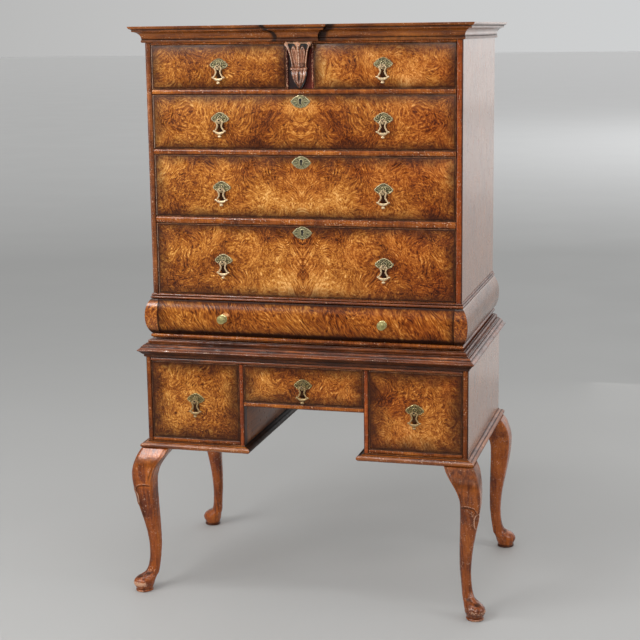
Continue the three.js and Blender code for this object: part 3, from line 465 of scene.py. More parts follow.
M["steel"] = brass("lock_steel", (150, 150, 148), (98, 96, 92), (60, 56, 52), 0.0, 0.6)


# near-black material for the keyholes, a painted stand-in for the shade inside them
def keyhole_shade_material():
    g = Nodes("keyhole_dark")
    n = g.noise(g.obj(), 900, 2)
    return g.shader(g.mix(n, (9, 7, 6), (24, 18, 14)), g.map(n, 0.3, 0.7, 0.6, 0.8), coat=0.0)


M["dark"] = keyhole_shade_material()


# ------------------------------------------------------------------- geometry
def place(V):
    return (np.asarray(V, float) - np.array([0.0, CY, 0.0])) * 0.001


def attribute(me, name, values, domain="POINT"):
    a = me.attributes.new(name, "FLOAT", domain)
    a.data.foreach_set("value", np.asarray(values, np.float32).ravel())


def set_uv(me, uv):
    layer = me.uv_layers.new(name="grain")
    layer.data.foreach_set("uv", np.asarray(uv, np.float32).ravel())


def corner_verts(me):
    idx = np.zeros(len(me.loops), np.int64)
    me.loops.foreach_get("vertex_index", idx)
    return idx


def positions(me):
    co = np.zeros(len(me.vertices) * 3, np.float32)
    me.vertices.foreach_get("co", co)
    return co.reshape(-1, 3).astype(float)


def seed_of(name):
    return sum((i + 7) * ord(c) for i, c in enumerate(name)) % 100003


def finish(name, me, mat, body, nodes, smooth=30.0):
    me.materials.append(M[mat] if isinstance(mat, str) else mat)
    me.polygons.foreach_set("use_smooth", np.ones(len(me.polygons), bool))
    me.set_sharp_from_angle(angle=math.radians(smooth))
    o = bpy.data.objects.new(name, me)
    bpy.context.scene.collection.objects.link(o)
    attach(o, body)
    if nodes:
        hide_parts(*([nodes] if isinstance(nodes, str) else nodes))
    return o


def grain_uv(me, axis, name):
    """u runs along the grain axis, v round the piece; each piece has its own place in the wood."""
    co = positions(me)[corner_verts(me)]
    r = np.random.default_rng(seed_of(name))
    du, dv = r.uniform(-3, 3, 2)
    others = [i for i in range(3) if i != axis]
    set_uv(me, np.stack([co[:, axis] + du, co[:, others[0]] + co[:, others[1]] + dv], 1))


def curvature(me, gain=1.0, passes=2, rub=None, true_scale=False):
    """Hollow and ridge values of a dense mesh, from each point's distance to its neighbours' mean: hollows get dirt and
    painted shade, ridges wear and painted sheen.
    """
    co = positions(me)
    e = np.zeros(len(me.edges) * 2, np.int64)
    me.edges.foreach_get("vertices", e)
    e = e.reshape(-1, 2)
    nrm = np.zeros(len(me.vertices) * 3, np.float32)
    me.vertices.foreach_get("normal", nrm)
    nrm = nrm.reshape(-1, 3)
    deg = np.bincount(e.ravel(), minlength=len(co)).astype(float)
    s = np.zeros_like(co)
    np.add.at(s, e[:, 0], co[e[:, 1]])
    np.add.at(s, e[:, 1], co[e[:, 0]])
    h = ((s / np.maximum(deg, 1)[:, None] - co) * nrm).sum(1)
    if true_scale:
        l2 = ((co[e[:, 0]] - co[e[:, 1]]) ** 2).sum(1)
        h *= 1e-7 / np.maximum((np.bincount(e[:, 0], l2, len(co)) + np.bincount(e[:, 1], l2, len(co))) / np.maximum(deg, 1), 1e-8)
    for _ in range(passes):
        t = np.zeros(len(co))
        np.add.at(t, e[:, 0], h[e[:, 1]])
        np.add.at(t, e[:, 1], h[e[:, 0]])
        h = 0.5 * h + 0.5 * t / np.maximum(deg, 1)
    h = h * gain * 1e4
    attribute(me, "dirt_and_shade", np.clip(h, 0, 1))
    attribute(me, "wear_and_sheen", np.clip(-h * (1.0 if rub is None else rub), 0, 1))


def raw_mesh(name, V, F, scaled=False):
    me = bpy.data.meshes.new(name)
    P = np.asarray(V, float) if scaled else place(V)
    me.from_pydata([tuple(p) for p in P], [], [tuple(int(i) for i in f) for f in F])
    bm = bmesh.new()
    bm.from_mesh(me)
    bmesh.ops.recalc_face_normals(bm, faces=bm.faces)
    return me, bm


def bevelled(name, shells, mat, axis=0, body="carcass", nodes=(), r=0.8, seg=2, smooth=35.0, face_uv=None):
    """Boards and blocks: closed shells whose sharp edges are rounded off by r."""
    V, F = [], []
    for v, f in shells:
        o = len(V)
        V += [tuple(p) for p in v]
        F += [tuple(o + i for i in x) for x in f]
    me, bm = raw_mesh(name, V, F)
    layer = bm.faces.layers.float.new("wear_and_sheen")
    if r > 0:
        bm.normal_update()
        es = [e for e in bm.edges if len(e.link_faces) == 2 and e.calc_face_angle(0) > math.radians(28)]
        res = bmesh.ops.bevel(bm, geom=es, offset=r * 0.001, offset_type="OFFSET", segments=seg, profile=0.5, affect="EDGES", clamp_overlap=True)
        for f in res["faces"]:
            f[layer] = 0.55
    bm.to_mesh(me)
    bm.free()
    if face_uv is not None:
        co = positions(me)[corner_verts(me)]
        cx, cz = face_uv
        set_uv(me, np.stack([co[:, 0] - cx * 0.001, co[:, 2] - cz * 0.001], 1))
    else:
        grain_uv(me, axis, name)
    return finish(name, me, mat, body, nodes, smooth)


def box(x0, x1, y0, y1, z0, z1):
    V = [(x, y, z) for x in (x0, x1) for y in (y0, y1) for z in (z0, z1)]
    return V, [(0, 1, 3, 2), (4, 6, 7, 5), (0, 4, 5, 1), (2, 3, 7, 6), (0, 2, 6, 4), (1, 5, 7, 3)]


def prism(pts, plane, a, b):
    """An outline carried straight: plane 'xz' along y, 'yz' along x, 'xy' along z."""
    put = {"xz": lambda p, t: (p[0], t, p[1]), "yz": lambda p, t: (t, p[0], p[1]), "xy": lambda p, t: (p[0], p[1], t)}[plane]
    n = len(pts)
    V = [put(p, a) for p in pts] + [put(p, b) for p in pts]
    F = [tuple(range(n)), tuple(range(2 * n - 1, n - 1, -1))] + [(i, (i + 1) % n, n + (i + 1) % n, n + i) for i in range(n)]
    return V, F


# sections: closed outlines in (out, height) with smooth runs given as many short steps
def arc(cx, cz, rx, rz, a0, a1, n=8):
    return [(cx + rx * math.cos(math.radians(a0 + (a1 - a0) * i / n)), cz + rz * math.sin(math.radians(a0 + (a1 - a0) * i / n))) for i in range(n + 1)]


def spline(pts, n=4):
    P = [pts[0]] + list(pts) + [pts[-1]]
    out = []
    for i in range(1, len(P) - 2):
        p0, p1, p2, p3 = (np.array(P[j], float) for j in (i - 1, i, i + 1, i + 2))
        for k in range(n):
            t = k / n
            out.append(tuple(0.5 * ((2 * p1) + (p2 - p0) * t + (2 * p0 - 5 * p1 + 4 * p2 - p3) * t ** 2 + (3 * p1 - p0 - 3 * p2 + p3) * t ** 3)))
    out.append(tuple(pts[-1]))
    return out


def section(pts, fillet=0.55, hidden=None, grime_and_shade=2.0):
    """Rounds the outward corners a little, adds points beside every corner, and says how
    exposed and how sheltered each point is: wear near outward corners, dirt and painted shade near hollow ones."""
    P = [np.array(p, float) for p in pts]
    P = [p for i, p in enumerate(P) if np.linalg.norm(p - P[i - 1]) > 1e-6]
    area = 0.5 * sum(P[i - 1][0] * P[i][1] - P[i][0] * P[i - 1][1] for i in range(len(P)))
    if area < 0:
        P.reverse()
    n = len(P)
    out, convex, hollow = [], [], []
    for i in range(n):
        a, b, c = P[i - 1], P[i], P[(i + 1) % n]
        d0, d1 = b - a, c - b
        l0, l1 = np.linalg.norm(d0), np.linalg.norm(d1)
        turn = math.degrees(math.atan2(d0[0] * d1[1] - d0[1] * d1[0], d0 @ d1))
        if turn > 26:
            t = min(fillet, 0.42 * l0, 0.42 * l1)
            s, e = b - d0 / l0 * t, b + d1 / l1 * t
            out += [s, 0.25 * s + 0.5 * b + 0.25 * e, e]
            convex.append(b)
        else:
            out.append(b)
            if turn < -26:
                hollow.append(b)
    dense = []
    for i in range(len(out)):
        a, b = out[i], out[(i + 1) % len(out)]
        L = np.linalg.norm(b - a)
        dense.append(a)
        for d in (0.8, 2.0, 4.5):
            if L > 2 * d + 0.8:
                dense.append(a + (b - a) * d / L)
        for d in (4.5, 2.0, 0.8):
            if L > 2 * d + 0.8:
                dense.append(b - (b - a) * d / L)
    D = np.array(dense)
    near = lambda pts_, s: np.exp(-np.min([np.linalg.norm(D - q, axis=1) for q in pts_], 0) / s) if pts_ else np.zeros(len(D))
    wear_and_sheen, dirt_and_shade = near(convex, 0.7), near(hollow, grime_and_shade)
    if hidden is not None:
        wear_and_sheen *= np.array([0 if hidden(p) else 1 for p in D])
    # outward normals in the plane of the section
    d = np.roll(D, -1, 0) - np.roll(D, 1, 0)
    nrm = np.stack([d[:, 1], -d[:, 0]], 1)
    nrm /= np.maximum(np.linalg.norm(nrm, axis=1), 1e-9)[:, None]
    per = np.concatenate([[0], np.cumsum(np.linalg.norm(np.diff(D, axis=0), axis=1))])
    return D, wear_and_sheen, dirt_and_shade, nrm, per


def nick(s, seed, per_m, wide=(1.5, 6.0)):
    r = np.random.default_rng(seed)
    lo, hi = s.min(), s.max()
    out = np.zeros_like(s)
    for _ in range(max(1, int(per_m * (hi - lo) / 1000))):
        c, w, a = r.uniform(lo, hi), r.uniform(*wide), r.uniform(0.3, 1.0)
        out = np.maximum(out, a * np.clip(1.25 - np.abs(s - c) / w, 0, 1))
    return out


def run(name, sec, ringA, ringB, direction, outward, mat, body="carcass", nodes=(), slot="walnut_moulding", step=5.0, nicks=16, depth=0.8, smooth=32.0, wear_and_sheen=1.0, ends=(0.0, 0.0, 9.0)):
    """A section carried from ring A to ring B. outward gives, for each section point, the way out
    in space; nicks and dents along the exposed edges are pressed into the mesh."""
    D, wr, dt, nrm, per = sec
    A, B = np.asarray(ringA, float), np.asarray(ringB, float)
    L = np.linalg.norm(B - A, axis=1).max()
    n = max(1, int(round(L / step)))
    t = np.linspace(0, 1, n + 1)
    P = A[None] + (B - A)[None] * t[:, None, None]
    u = P @ np.asarray(direction, float)
    seed = seed_of(name)
    m = len(D)
    W = np.zeros((n + 1, m))
    groups, cur = [], []
    for j in range(m):
        if wr[j] > 0.25:
            cur.append(j)
        elif cur:
            groups.append(cur)
            cur = []
    if cur:
        groups.append(cur)
    for k, gset in enumerate(groups):
        for j in gset:
            v = nick(u[:, j], seed + 31 * k, nicks) if nicks else np.zeros(n + 1)
            W[:, j] = np.maximum(W[:, j], v * wr[j])
    out = np.asarray(outward, float)
    P = P - out[None] * (W * depth * (t * (1 - t) > 0)[:, None])[:, :, None]
    wob = np.random.default_rng(seed + 5).normal(0, 0.05, (n + 1, m)) * (wr > 0.25)
    P = P - out[None] * (np.abs(wob) * (t * (1 - t) > 0)[:, None])[:, :, None]
    V = P.reshape(-1, 3)
    F = []
    for i in range(n):
        for j in range(m):
            a, b = i * m + j, i * m + (j + 1) % m
            F.append((a, b, b + m, a + m))
    F.append(tuple(range(m)))
    F.append(tuple(n * m + j for j in range(m - 1, -1, -1)))
    me, bm = raw_mesh(name, V, F)
    bm.to_mesh(me)
    bm.free()
    cv = corner_verts(me)
    r = np.random.default_rng(seed + 1)
    du, dv = r.uniform(-3, 3, 2)
    U = (u.reshape(-1) * 0.001 + du)[cv]
    Vv = np.tile(per * 0.001 + dv, n + 1)[cv]
    set_uv(me, np.stack([U, Vv], 1))
    attribute(me, "wear_and_sheen", np.clip(0.46 * np.tile(wr, n + 1) + 0.14 * W.reshape(-1), 0, 1) * wear_and_sheen)
    grime_and_shade = np.tile(dt, (n + 1, 1))
    # painted shade near the chosen ends of a run, where it meets another piece
    along = (u - u[0][None]), (u[-1][None] - u)
    for amount, d in zip(ends[:2], along):
        grime_and_shade = np.maximum(grime_and_shade, amount * np.exp(-(d / ends[2]) ** 1.5) * (out[:, 2] < 0.85))
    attribute(me, "dirt_and_shade", grime_and_shade.reshape(-1))
    return finish(name, me, mat, body, nodes, smooth)


def moulding(names, path, sec, mat, body="carcass", nodes=(), slot="walnut_moulding", **kw):
    """A section carried round a path in plan, one piece to each side, mitred where they meet."""
    D = sec[0]
    dirs = []
    for i in range(len(path) - 1):
        d = np.array(path[i + 1], float) - np.array(path[i], float)
        d /= np.linalg.norm(d)
        dirs.append(np.array([d[1], -d[0]]))
    rings = []
    for i in range(len(path)):
        a, b = dirs[max(0, i - 1)], dirs[min(len(dirs) - 1, i)]
        k = 1 + a @ b
        mv = (a + b) / k
        rings.append(np.stack([path[i][0] + mv[0] * D[:, 0], path[i][1] + mv[1] * D[:, 0], D[:, 1]], 1))
    made = []
    for i, nm in enumerate(names):
        o = dirs[i]
        out = np.stack([o[0] * sec[3][:, 0], o[1] * sec[3][:, 0], sec[3][:, 1]], 1)
        d = (-o[1], o[0], 0.0)
        mm = mat[i] if isinstance(mat, (list, tuple)) else mat
        kk = dict(kw)
        if "ends" in kw:
            kk["ends"] = kw["ends"][i]
        made.append(run(nm, sec, rings[i], rings[i + 1], d, out, mm, body, nodes, slot, **kk))
    return made


def nose(y0, y1, t0, t1, n=10):
    """A board's section with a half-round front edge, in (out, thickness); out is -y."""
    r, c = (t1 - t0) / 2, (t0 + t1) / 2
    pts = [(-(y0 + 0.55 * r) + 0.55 * r * math.cos(a), c + r * math.sin(a)) for a in np.linspace(-math.pi / 2, math.pi / 2, n + 1)]
    return [(-y1, t0)] + pts + [(-y1, t1)]


def rubbed(sec, where, amount):
    """The same section with more wear and painted sheen wherever a test on its points holds."""
    wr = np.maximum(sec[1], amount * np.array([bool(where(p)) for p in sec[0]]))
    return sec[0], wr, sec[2], sec[3], sec[4]


def with_painted_shade(sec, where, amount):
    """The same section with painted shade wherever a test on its points holds."""
    dt = np.maximum(sec[2], amount * np.array([bool(where(p)) for p in sec[0]]))
    return sec[0], sec[1], dt, sec[3], sec[4]


def nose_section(y0, y1, t0, t1):
    return section(nose(y0, y1, t0, t1), fillet=0.12 if y1 - y0 < 12 else 0.55)


def nose_rub_and_shade(sec, y0, amount=0.9):
    """The front of a half-round edge is rubbed pale, wear with a painted highlight, and painted shade with dirt lies
    along its two sides.
    """
    D, wr, dt, nrm, per = sec
    wr = np.maximum(wr * (D[:, 0] > -y0 - 6) * 0, amount * np.exp(-((D[:, 0] + y0) / 0.9) ** 2))
    t0, t1 = D[:, 1].min(), D[:, 1].max()
    near = np.minimum(D[:, 1] - t0, t1 - D[:, 1])
    dt = np.maximum(dt, 1.0 * np.exp(-(near / 2.3) ** 1.6))
    return D, wr, dt, nrm, per


def rail(name, x0, x1, y0, y1, z0, z1, mat="rail", nodes=(), slot="walnut_frame", **kw):
    sec = nose_rub_and_shade(section(nose(y0, y1, z0, z1)), y0)
    D = sec[0]
    A = np.stack([np.full(len(D), x0), -D[:, 0], D[:, 1]], 1)
    B = A.copy()
    B[:, 0] = x1
    out = np.stack([np.zeros(len(D)), -sec[3][:, 0], sec[3][:, 1]], 1)
    return run(name, sec, A, B, (1, 0, 0), out, mat, "carcass", nodes, slot, **kw)


def stile(name, x0, x1, y0, y1, z0, z1, mat="stile", nodes=(), slot="walnut_frame", arris=0.0, **kw):
    sec = nose_rub_and_shade(nose_section(y0, y1, x0, x1), y0)
    D = sec[0]
    # a painted highlight down the outer arris, with no darkening there
    if arris:
        sec = (D, np.maximum(sec[1], arris * (D[:, 1] < x0 + 2.2) * (D[:, 0] > -y0 - 7.0)), sec[2] * (D[:, 1] > x0 + 4.0), sec[3], sec[4])
    A = np.stack([D[:, 1], -D[:, 0], np.full(len(D), z0)], 1)
    B = A.copy()
    B[:, 2] = z1
    out = np.stack([sec[3][:, 1], -sec[3][:, 0], np.zeros(len(D))], 1)
    return run(name, sec, A, B, (0, 0, 1), out, mat, "carcass", nodes, slot, **kw)


# ------------------------------------------------------------------ upper case
for tag, s in (("left", -1), ("right", 1)):
    a, b = (-UX, -UI) if s < 0 else (UI, UX)
    stile(f"upper_stile_{tag}", a, b, 0, 8.5, CUSH[0] + 0.3, 1414.3, "stile_left" if s < 0 else "stile", nodes=f"upper_side_{tag}", arris=1.0 if s < 0 else 0.0, step=5, nicks=9, depth=0.5)
    bevelled(f"upper_side_panel_{tag}", [box(a, b, 8.55, UD, CUSH[0] + 0.3, 1414.3)], "panel", axis=2, nodes=f"upper_side_{tag}", r=0.12, seg=1)

planks = np.linspace(-UI + 0.3, UI - 0.3, 6)
bevelled("upper_back_boards", [box(planks[i] + 0.25, planks[i + 1] - 0.25, UD - 10, UD, CUSH[0] + 0.3, 1414.3) for i in range(5)], "pine", axis=2,
         nodes="upper_back_board", r=1.1)
bevelled("upper_top_board", [box(-UX, UX, 0, UD, 1414.6, 1432.6)], "panel", axis=0, nodes="upper_top_board", r=0.5)
bevelled("upper_top_rail", [box(-UI + 0.3, UI - 0.3, 0.4, 60, 1388.7, 1414.3)], "rail", axis=0, nodes="upper_top_board", r=0.6)

CORNICE = section([(0.3, 1393.7)] + arc(4.4, 1397.4, 2.6, 3.7, -90, 78, 7) + [(4.6, 1401.3), (5.7, 1401.5), (5.7, 1402.6)]
                  + arc(23.8, 1402.6, 18.1, 17.0, 180, 96, 12)[1:] + [(23.9, 1419.8), (23.9, 1424.9), (25.6, 1425.1)]
                  + arc(25.4, 1432.6, 6.2, 6.9, -78, -8, 7) + [(31.7, 1432.0), (31.2, 1432.6), (0.3, 1432.6)], hidden=lambda p: p[0] < 2, grime_and_shade=3.8)
# a painted highlight on the narrow fillet under the ovolo, painted shadow on the bead at the foot of the cove, and
# painted shade on the runs beside the break
CORNICE = (CORNICE[0], np.maximum(CORNICE[1], 0.8 * ((np.abs(CORNICE[0][:, 0] - 23.9) < 0.3) & (CORNICE[0][:, 1] > 1420.0) & (CORNICE[0][:, 1] < 1423.4))), *CORNICE[2:])
CORNICE = (CORNICE[0], CORNICE[1], np.maximum(CORNICE[2], 0.55 * ((CORNICE[0][:, 1] > 1396.2) & (CORNICE[0][:, 1] < 1401.2) & (CORNICE[0][:, 0] > 2))), *CORNICE[3:])
RX, RO = 44.0, 12.0
moulding(["cornice_side_left", "cornice_front_left", "cornice_return_left", "cornice_break", "cornice_return_right", "cornice_front_right", "cornice_side_right"],
         [(-UX, UD), (-UX, 0), (-RX, 0), (-RX, -RO), (RX, -RO), (RX, 0), (UX, 0), (UX, UD)], CORNICE, ["cornice_side"] + ["cornice"] * 5 + ["cornice_side"], nodes="cornice_moulding", step=4, nicks=11, depth=0.6,
         ends=[(0, 0, 9), (0, 1.9, 14), (2, 2, 30), (0.5, 0.3, 9), (2, 2, 30), (1.9, 0, 17), (0, 0, 9)])
bevelled("cornice_break_core", [box(-RX + 0.3, RX - 0.3, -RO - 0.3 + 0.6, -0.3, 1393.7, 1432.6)], "cornice", axis=0, nodes="cornice_moulding", r=0.4)

# face between the short drawers: a sunk panel with a slim bead down each edge
pan = [(-PX, 24), (-PX, 2.6)] + [(-PX + 2.4 - 2.4 * math.cos(math.radians(t)), 2.6 - 2.6 * math.sin(math.radians(t))) for t in range(0, 181, 22)]
pan += [(-PX + 4.9, 4.4), (PX - 4.9, 4.4)]
pan += [(PX - 2.4 - 2.4 * math.cos(math.radians(t)), 2.6 - 2.6 * math.sin(math.radians(t))) for t in range(0, 181, 22)] + [(PX, 2.6), (PX, 24)]
sec = section([(-y, x) for x, y in pan])
D = sec[0]
on_bead = (np.abs(np.abs(D[:, 1]) - (PX - 2.4)) < 2.6)
# a painted highlight on the fronts of the beads, painted shadow over the left half of the sunk panel beside the
# bracket, and a little painted shade over the rest
sec = (D, np.where(on_bead & (D[:, 0] > -2.0), 0.95, 0.0), np.where(on_bead, 0.0, np.where(D[:, 1] < 0, 0.95, 0.3)), sec[3], sec[4])
A = np.stack([D[:, 1], -D[:, 0], np.full(len(D), SHORT[0] + 0.3)], 1)
B = A.copy()
B[:, 2] = SHORT[1] + 0.6
run("partition_face", sec, A, B, (0, 0, 1), np.stack([sec[3][:, 1], -sec[3][:, 0], np.zeros(len(D))], 1), "recess_shaded", nodes="short_drawer_partition", slot="walnut_frame", nicks=0, wear_and_sheen=1.3)
bevelled("partition_guide", [box(-8, 8, 24.2, UBACK, SHORT[0] + 0.3, SHORT[1] + 0.6)], "oak", axis=1, nodes="short_drawer_partition", r=0.6)

for i, (a, b) in enumerate(((LONG[0][1], SHORT[0]), (LONG[1][1], LONG[0][0]), (LONG[2][1], LONG[1][0]))):
    rail(f"divider_rail_{i + 1}_front", -UI + 0.3, UI - 0.3, 0, 42, a, b, nodes=f"divider_rail_{i + 1}", nicks=22, depth=0.6)
    bevelled(f"dust_board_{i + 1}", [box(-UI + 0.3, UI - 0.3, 42.2, UBACK, a + 1, b - 1)], "oak", axis=0, nodes=f"divider_rail_{i + 1}", r=0.5)

U_PATH = [(-UX, UD), (-UX, 0), (UX, 0), (UX, UD)]
waist = section([(0.3, 765.3), (1.6, 765.3)] + arc(1.7, 768.8, 3.5, 3.3, -80, 76, 8) + [(1.0, 772.3), (1.0, 773.4), (3.2, 773.8), (2.3, 777.0), (0.3, 777.4)], fillet=0.3, hidden=lambda p: p[0] < 0.6)
moulding(["waist_bead_left", "waist_bead_front", "waist_bead_right"], U_PATH, waist, ["mould_side", "mould", "mould_side"], nodes="divider_rail_4", step=5, nicks=24, depth=0.5)
bevelled("divider_rail_4_front", [box(-UI + 0.3, UI - 0.3, -1, 42, 765.3, 777.4)], "rail", axis=0, nodes="divider_rail_4", r=0.5)
bevelled("dust_board_4", [box(-UI + 0.3, UI - 0.3, 42.2, UBACK, 766.3, 776.4)], "oak", axis=0, nodes="divider_rail_4", r=0.5)

bead = section([(-40, 664.9), (2.6, 664.9), (2.6, 667.1)] + arc(3.2, 671.8, 3.7, 4.4, -88, 74, 9) + [(-40, 676.3)], fillet=0.4, hidden=lambda p: p[0] < 1)
moulding(["base_bead_left", "base_bead_front", "base_bead_right"], U_PATH, bead, ["mould_side", "rail", "mould_side"], nodes="upper_base_frame", step=5, nicks=20, depth=0.6)
bevelled("upper_bottom_board", [box(-UX + 40.2, UX - 40.2, 40.2, UD, 665.2, 676.0)], "oak", axis=0, nodes="upper_base_frame", r=0.5)


def cushion(n, inset=0.0, p0=3.0, out=14.7):
    c, h = (CUSH[0] + CUSH[1]) / 2, (CUSH[1] - CUSH[0]) / 2 - inset
    t = -np.cos(np.linspace(0, math.pi, n + 1))
    return [(p0 + out * (1 - abs(v) ** 2.3) ** 0.8, c + h * v) for v in t]


cs = section([(0.3, CUSH[0] + 0.3)] + cushion(30, 0.3) + [(0.3, CUSH[1] - 0.3)], fillet=0.3)
# end blocks with painted shade and a painted shadow line along their bottoms; the left block is a lighter, glossier
# copy standing in for the light from the left
M["end_burr"] = burr("burr_end_block", 0.2, 0.0445, (5.1, 2.7, 0.4), border=0.5, tone=-0.03, calm=0.3, low=0.9, shadow_line_at=0.006, gloss=0.4)
M["end_burr_left_lit"] = burr("burr_end_block_left", 0.2, 0.0445, (5.1, 2.7, 0.4), border=0.4, tone=0.05, calm=0.3, low=0.7, shadow_line_at=0.006, gloss=0.55)
left = moulding(["cushion_side_left", "cushion_end_left"], [(-UX, UD), (-UX, 0), (-UI, 0)], cs, ["panel_low", "end_burr_left_lit"], nodes="upper_base_frame", step=6, nicks=0)
right = moulding(["cushion_end_right", "cushion_side_right"], [(UI, 0), (UX, 0), (UX, UD)], cs, ["end_burr", "panel_low"], nodes="upper_base_frame", step=6, nicks=0)
for o in (left[1], right[0]):
    me = o.data
    co = positions(me)[corner_verts(me)]
    me.uv_layers["grain"].data.foreach_set("uv", np.stack([np.abs(co[:, 0]) - 0.37, co[:, 2] - 0.72], 1).astype(np.float32).ravel())


# -------------------------------------------------------------------- the stand
S_PATH = [(-SX, SY1), (-SX, SY0), (SX, SY0), (SX, SY1)]
top = section([(0.3, 617.7), (2.2, 617.8), (3.3, 619.6)] + spline([(3.5, 624.2), (6.0, 625.4), (9.6, 628.8), (12.6, 632.0), (15.0, 633.5)], 3)
              + arc(15.1, 636.0, 1.9, 2.0, -70, 78, 6) + [(14.9, 638.6), (13.6, 639.0)] + spline([(12.6, 639.5), (10.6, 641.0), (9.4, 642.6)], 3) + [(9.2, 643.3), (8.2, 643.5), (8.0, 645.3)]
              + spline([(7.4, 645.6), (5.6, 646.6), (4.6, 648.0)], 3) + [(4.3, 648.7), (1.3, 648.8)]
              + [(1.2, 649.4), (-1.8, 650.4), (-1.8, 652.3), (-5.6, 652.6)] + arc(-7.6, 656.4, 1.9, 3.7, -80, 70, 6) + [(-8.4, 660.3), (-12.2, 660.5), (-12.6, 662.0), (-60, 662.0), (-60, 645.3), (0.3, 645.3)],
              fillet=0.5, hidden=lambda p: p[0] < -13)
# painted shade in the cove under the tip and a painted shadow over the bead under the cushion; the tip's edge is paled
# with chips and a painted highlight
top = with_painted_shade(with_painted_shade(top, lambda p: p[1] < 633.8 and p[0] > 1.5, 0.62), lambda p: p[1] > 652 and p[0] > -10, 0.42)
moulding(["stand_top_moulding_left", "stand_top_moulding_front", "stand_top_moulding_right"], S_PATH, rubbed(top, lambda p: p[0] > 15.4 and p[1] > 635.6, 1.0), ["mould_side", "mould", "mould_side"], nodes="stand_top_moulding", step=5, nicks=26, depth=1.0)
bevelled("stand_top_board", [box(-SX + 60.3, SX - 60.3, SY0 + 60.3, SY1, 645.5, 661.8)], "oak", axis=0, nodes="stand_top_moulding", r=0.4)
tr = section([(-(SY0 + 56), 607.8), (-(SY0 + 3.6), 607.8)] + arc(-(SY0 + 3.6), 612.0, 3.4, 4.2, -90, 60, 8) + [(-(SY0 + 1.9), 616.2), (-(SY0 + 0.5), 616.6), (-(SY0 + 0.5), 645.0), (-(SY0 + 56), 645.0)], fillet=0.4)
D = tr[0]
A = np.stack([np.full(len(D), -SI + 0.3), -D[:, 0], D[:, 1]], 1)
B = A.copy()
B[:, 0] = SI - 0.3
run("stand_top_rail", tr, A, B, (1, 0, 0), np.stack([np.zeros(len(D)), -tr[3][:, 0], tr[3][:, 1]], 1), "mould", nodes="stand_top_rail", slot="walnut_frame", nicks=18, depth=0.5)

for tag, s in (("left", -1), ("right", 1)):
    a, b = (-SX, -SI) if s < 0 else (SI, SX)
    stile(f"stand_stile_{tag}", a, b, SY0, SY0 + 8, 400.6, 645.0, "stile_stand", nodes=f"stand_side_{tag}", nicks=10, depth=0.5)
    bevelled(f"stand_side_panel_{tag}", [box(a, b, SY0 + 8.05, SY1, 400.6, 645.0)], "panel_stand", axis=2, nodes=f"stand_side_{tag}", r=0.12, seg=1)
    a, b = (-WALLO, -KNEE) if s < 0 else (KNEE, WALLO)
    stile(f"kneehole_stile_{tag}", a, b, SY0, SY0 + 24, 400.6, 607.5, nodes="kneehole_frame", nicks=12, depth=0.5)
    bevelled(f"kneehole_wall_{tag}", [box(a, b, SY0 + 24.1, SBACK, 400.6, 607.5)], "wall", axis=1, nodes="kneehole_frame", r=0.4)

rail("centre_rail", -KNEE + 0.1, KNEE - 0.1, SY0, SY0 + 42, 500.9, 512.9, nodes="kneehole_frame", nicks=22, depth=0.6)
bevelled("centre_dust_board", [box(-KNEE + 0.1, KNEE - 0.1, SY0 + 42.2, SBACK, 501.4, 512.4)], "wall", axis=0, nodes="kneehole_frame", r=0.4)
SI3 = SI - 0.3
half = (SI3 - KNEE) / 2
back = []
for x0, x1, z0 in ((-SI3, -KNEE - 0.25, 400.6), (-KNEE + 0.25, KNEE - 0.25, 500.9), (KNEE + 0.25, SI3, 400.6)):
    back.append(box(x0, x1, SY1 - 12, SY1, z0, 645.0))
bevelled("stand_back_boards", back, "pine", axis=0, nodes="stand_back_board", r=0.8)

base = section([(-40, 400.3), (0.4, 400.3), (0.5, 398.0), (2.2, 397.6)] + spline([(4.6, 397.0), (7.0, 395.9), (9.2, 395.2)], 3) + [(9.6, 395.9), (12.3, 396.0), (15.1, 393.2)]
               + arc(9.8, 389.8, 7.0, 6.2, 24, -52, 8) + [(13.6, 384.0), (12.0, 383.0), (-40, 383.0)], fillet=0.4, hidden=lambda p: p[0] < -1, grime_and_shade=2.4)
for tag, s in (("left", -1), ("right", 1)):
    if s < 0:
        path, names, mats = [(-SX, SY1), (-SX, SY0), (-KNEE, SY0), (-KNEE, SY1)], ["outer", "front", "inner"], ["base_side", "base", "base_inner_shaded"]
        a, b, c, d = -SI, -WALLO, -SX + 40.2, -KNEE - 40.2
    else:
        path, names, mats = [(KNEE, SY1), (KNEE, SY0), (SX, SY0), (SX, SY1)], ["inner", "front", "outer"], ["base_inner_shaded", "base", "base_side"]
        a, b, c, d = WALLO, SI, KNEE + 40.2, SX - 40.2
    # the nose is paled with chips and a painted highlight
    moulding([f"base_moulding_{tag}_{n}" for n in names], path, rubbed(base, lambda p: p[0] > 11.5 and 385 < p[1] < 395.6, 0.6), mats, nodes=f"pedestal_base_{tag}", slot="walnut_moulding", step=5, nicks=30, depth=1.0)
    bevelled(f"pedestal_bottom_{tag}", [box(c, d, SY0 + 40.2, SY1, 383.2, 400.1)], "oak", axis=1, nodes=f"pedestal_base_{tag}", r=0.4)
    rail(f"pedestal_rail_{tag}", a + 0.15, b - 0.15, SY0, SY0 + 40, 400.4, 410.7, nodes=f"pedestal_base_{tag}", nicks=16, depth=0.5)
    bevelled(f"pedestal_runner_{tag}", [box(a + 0.3, b - 0.3, SY0 + 40.2, SBACK, 400.4, 410.4)], "oak", axis=1, nodes=f"pedestal_base_{tag}", r=0.4)


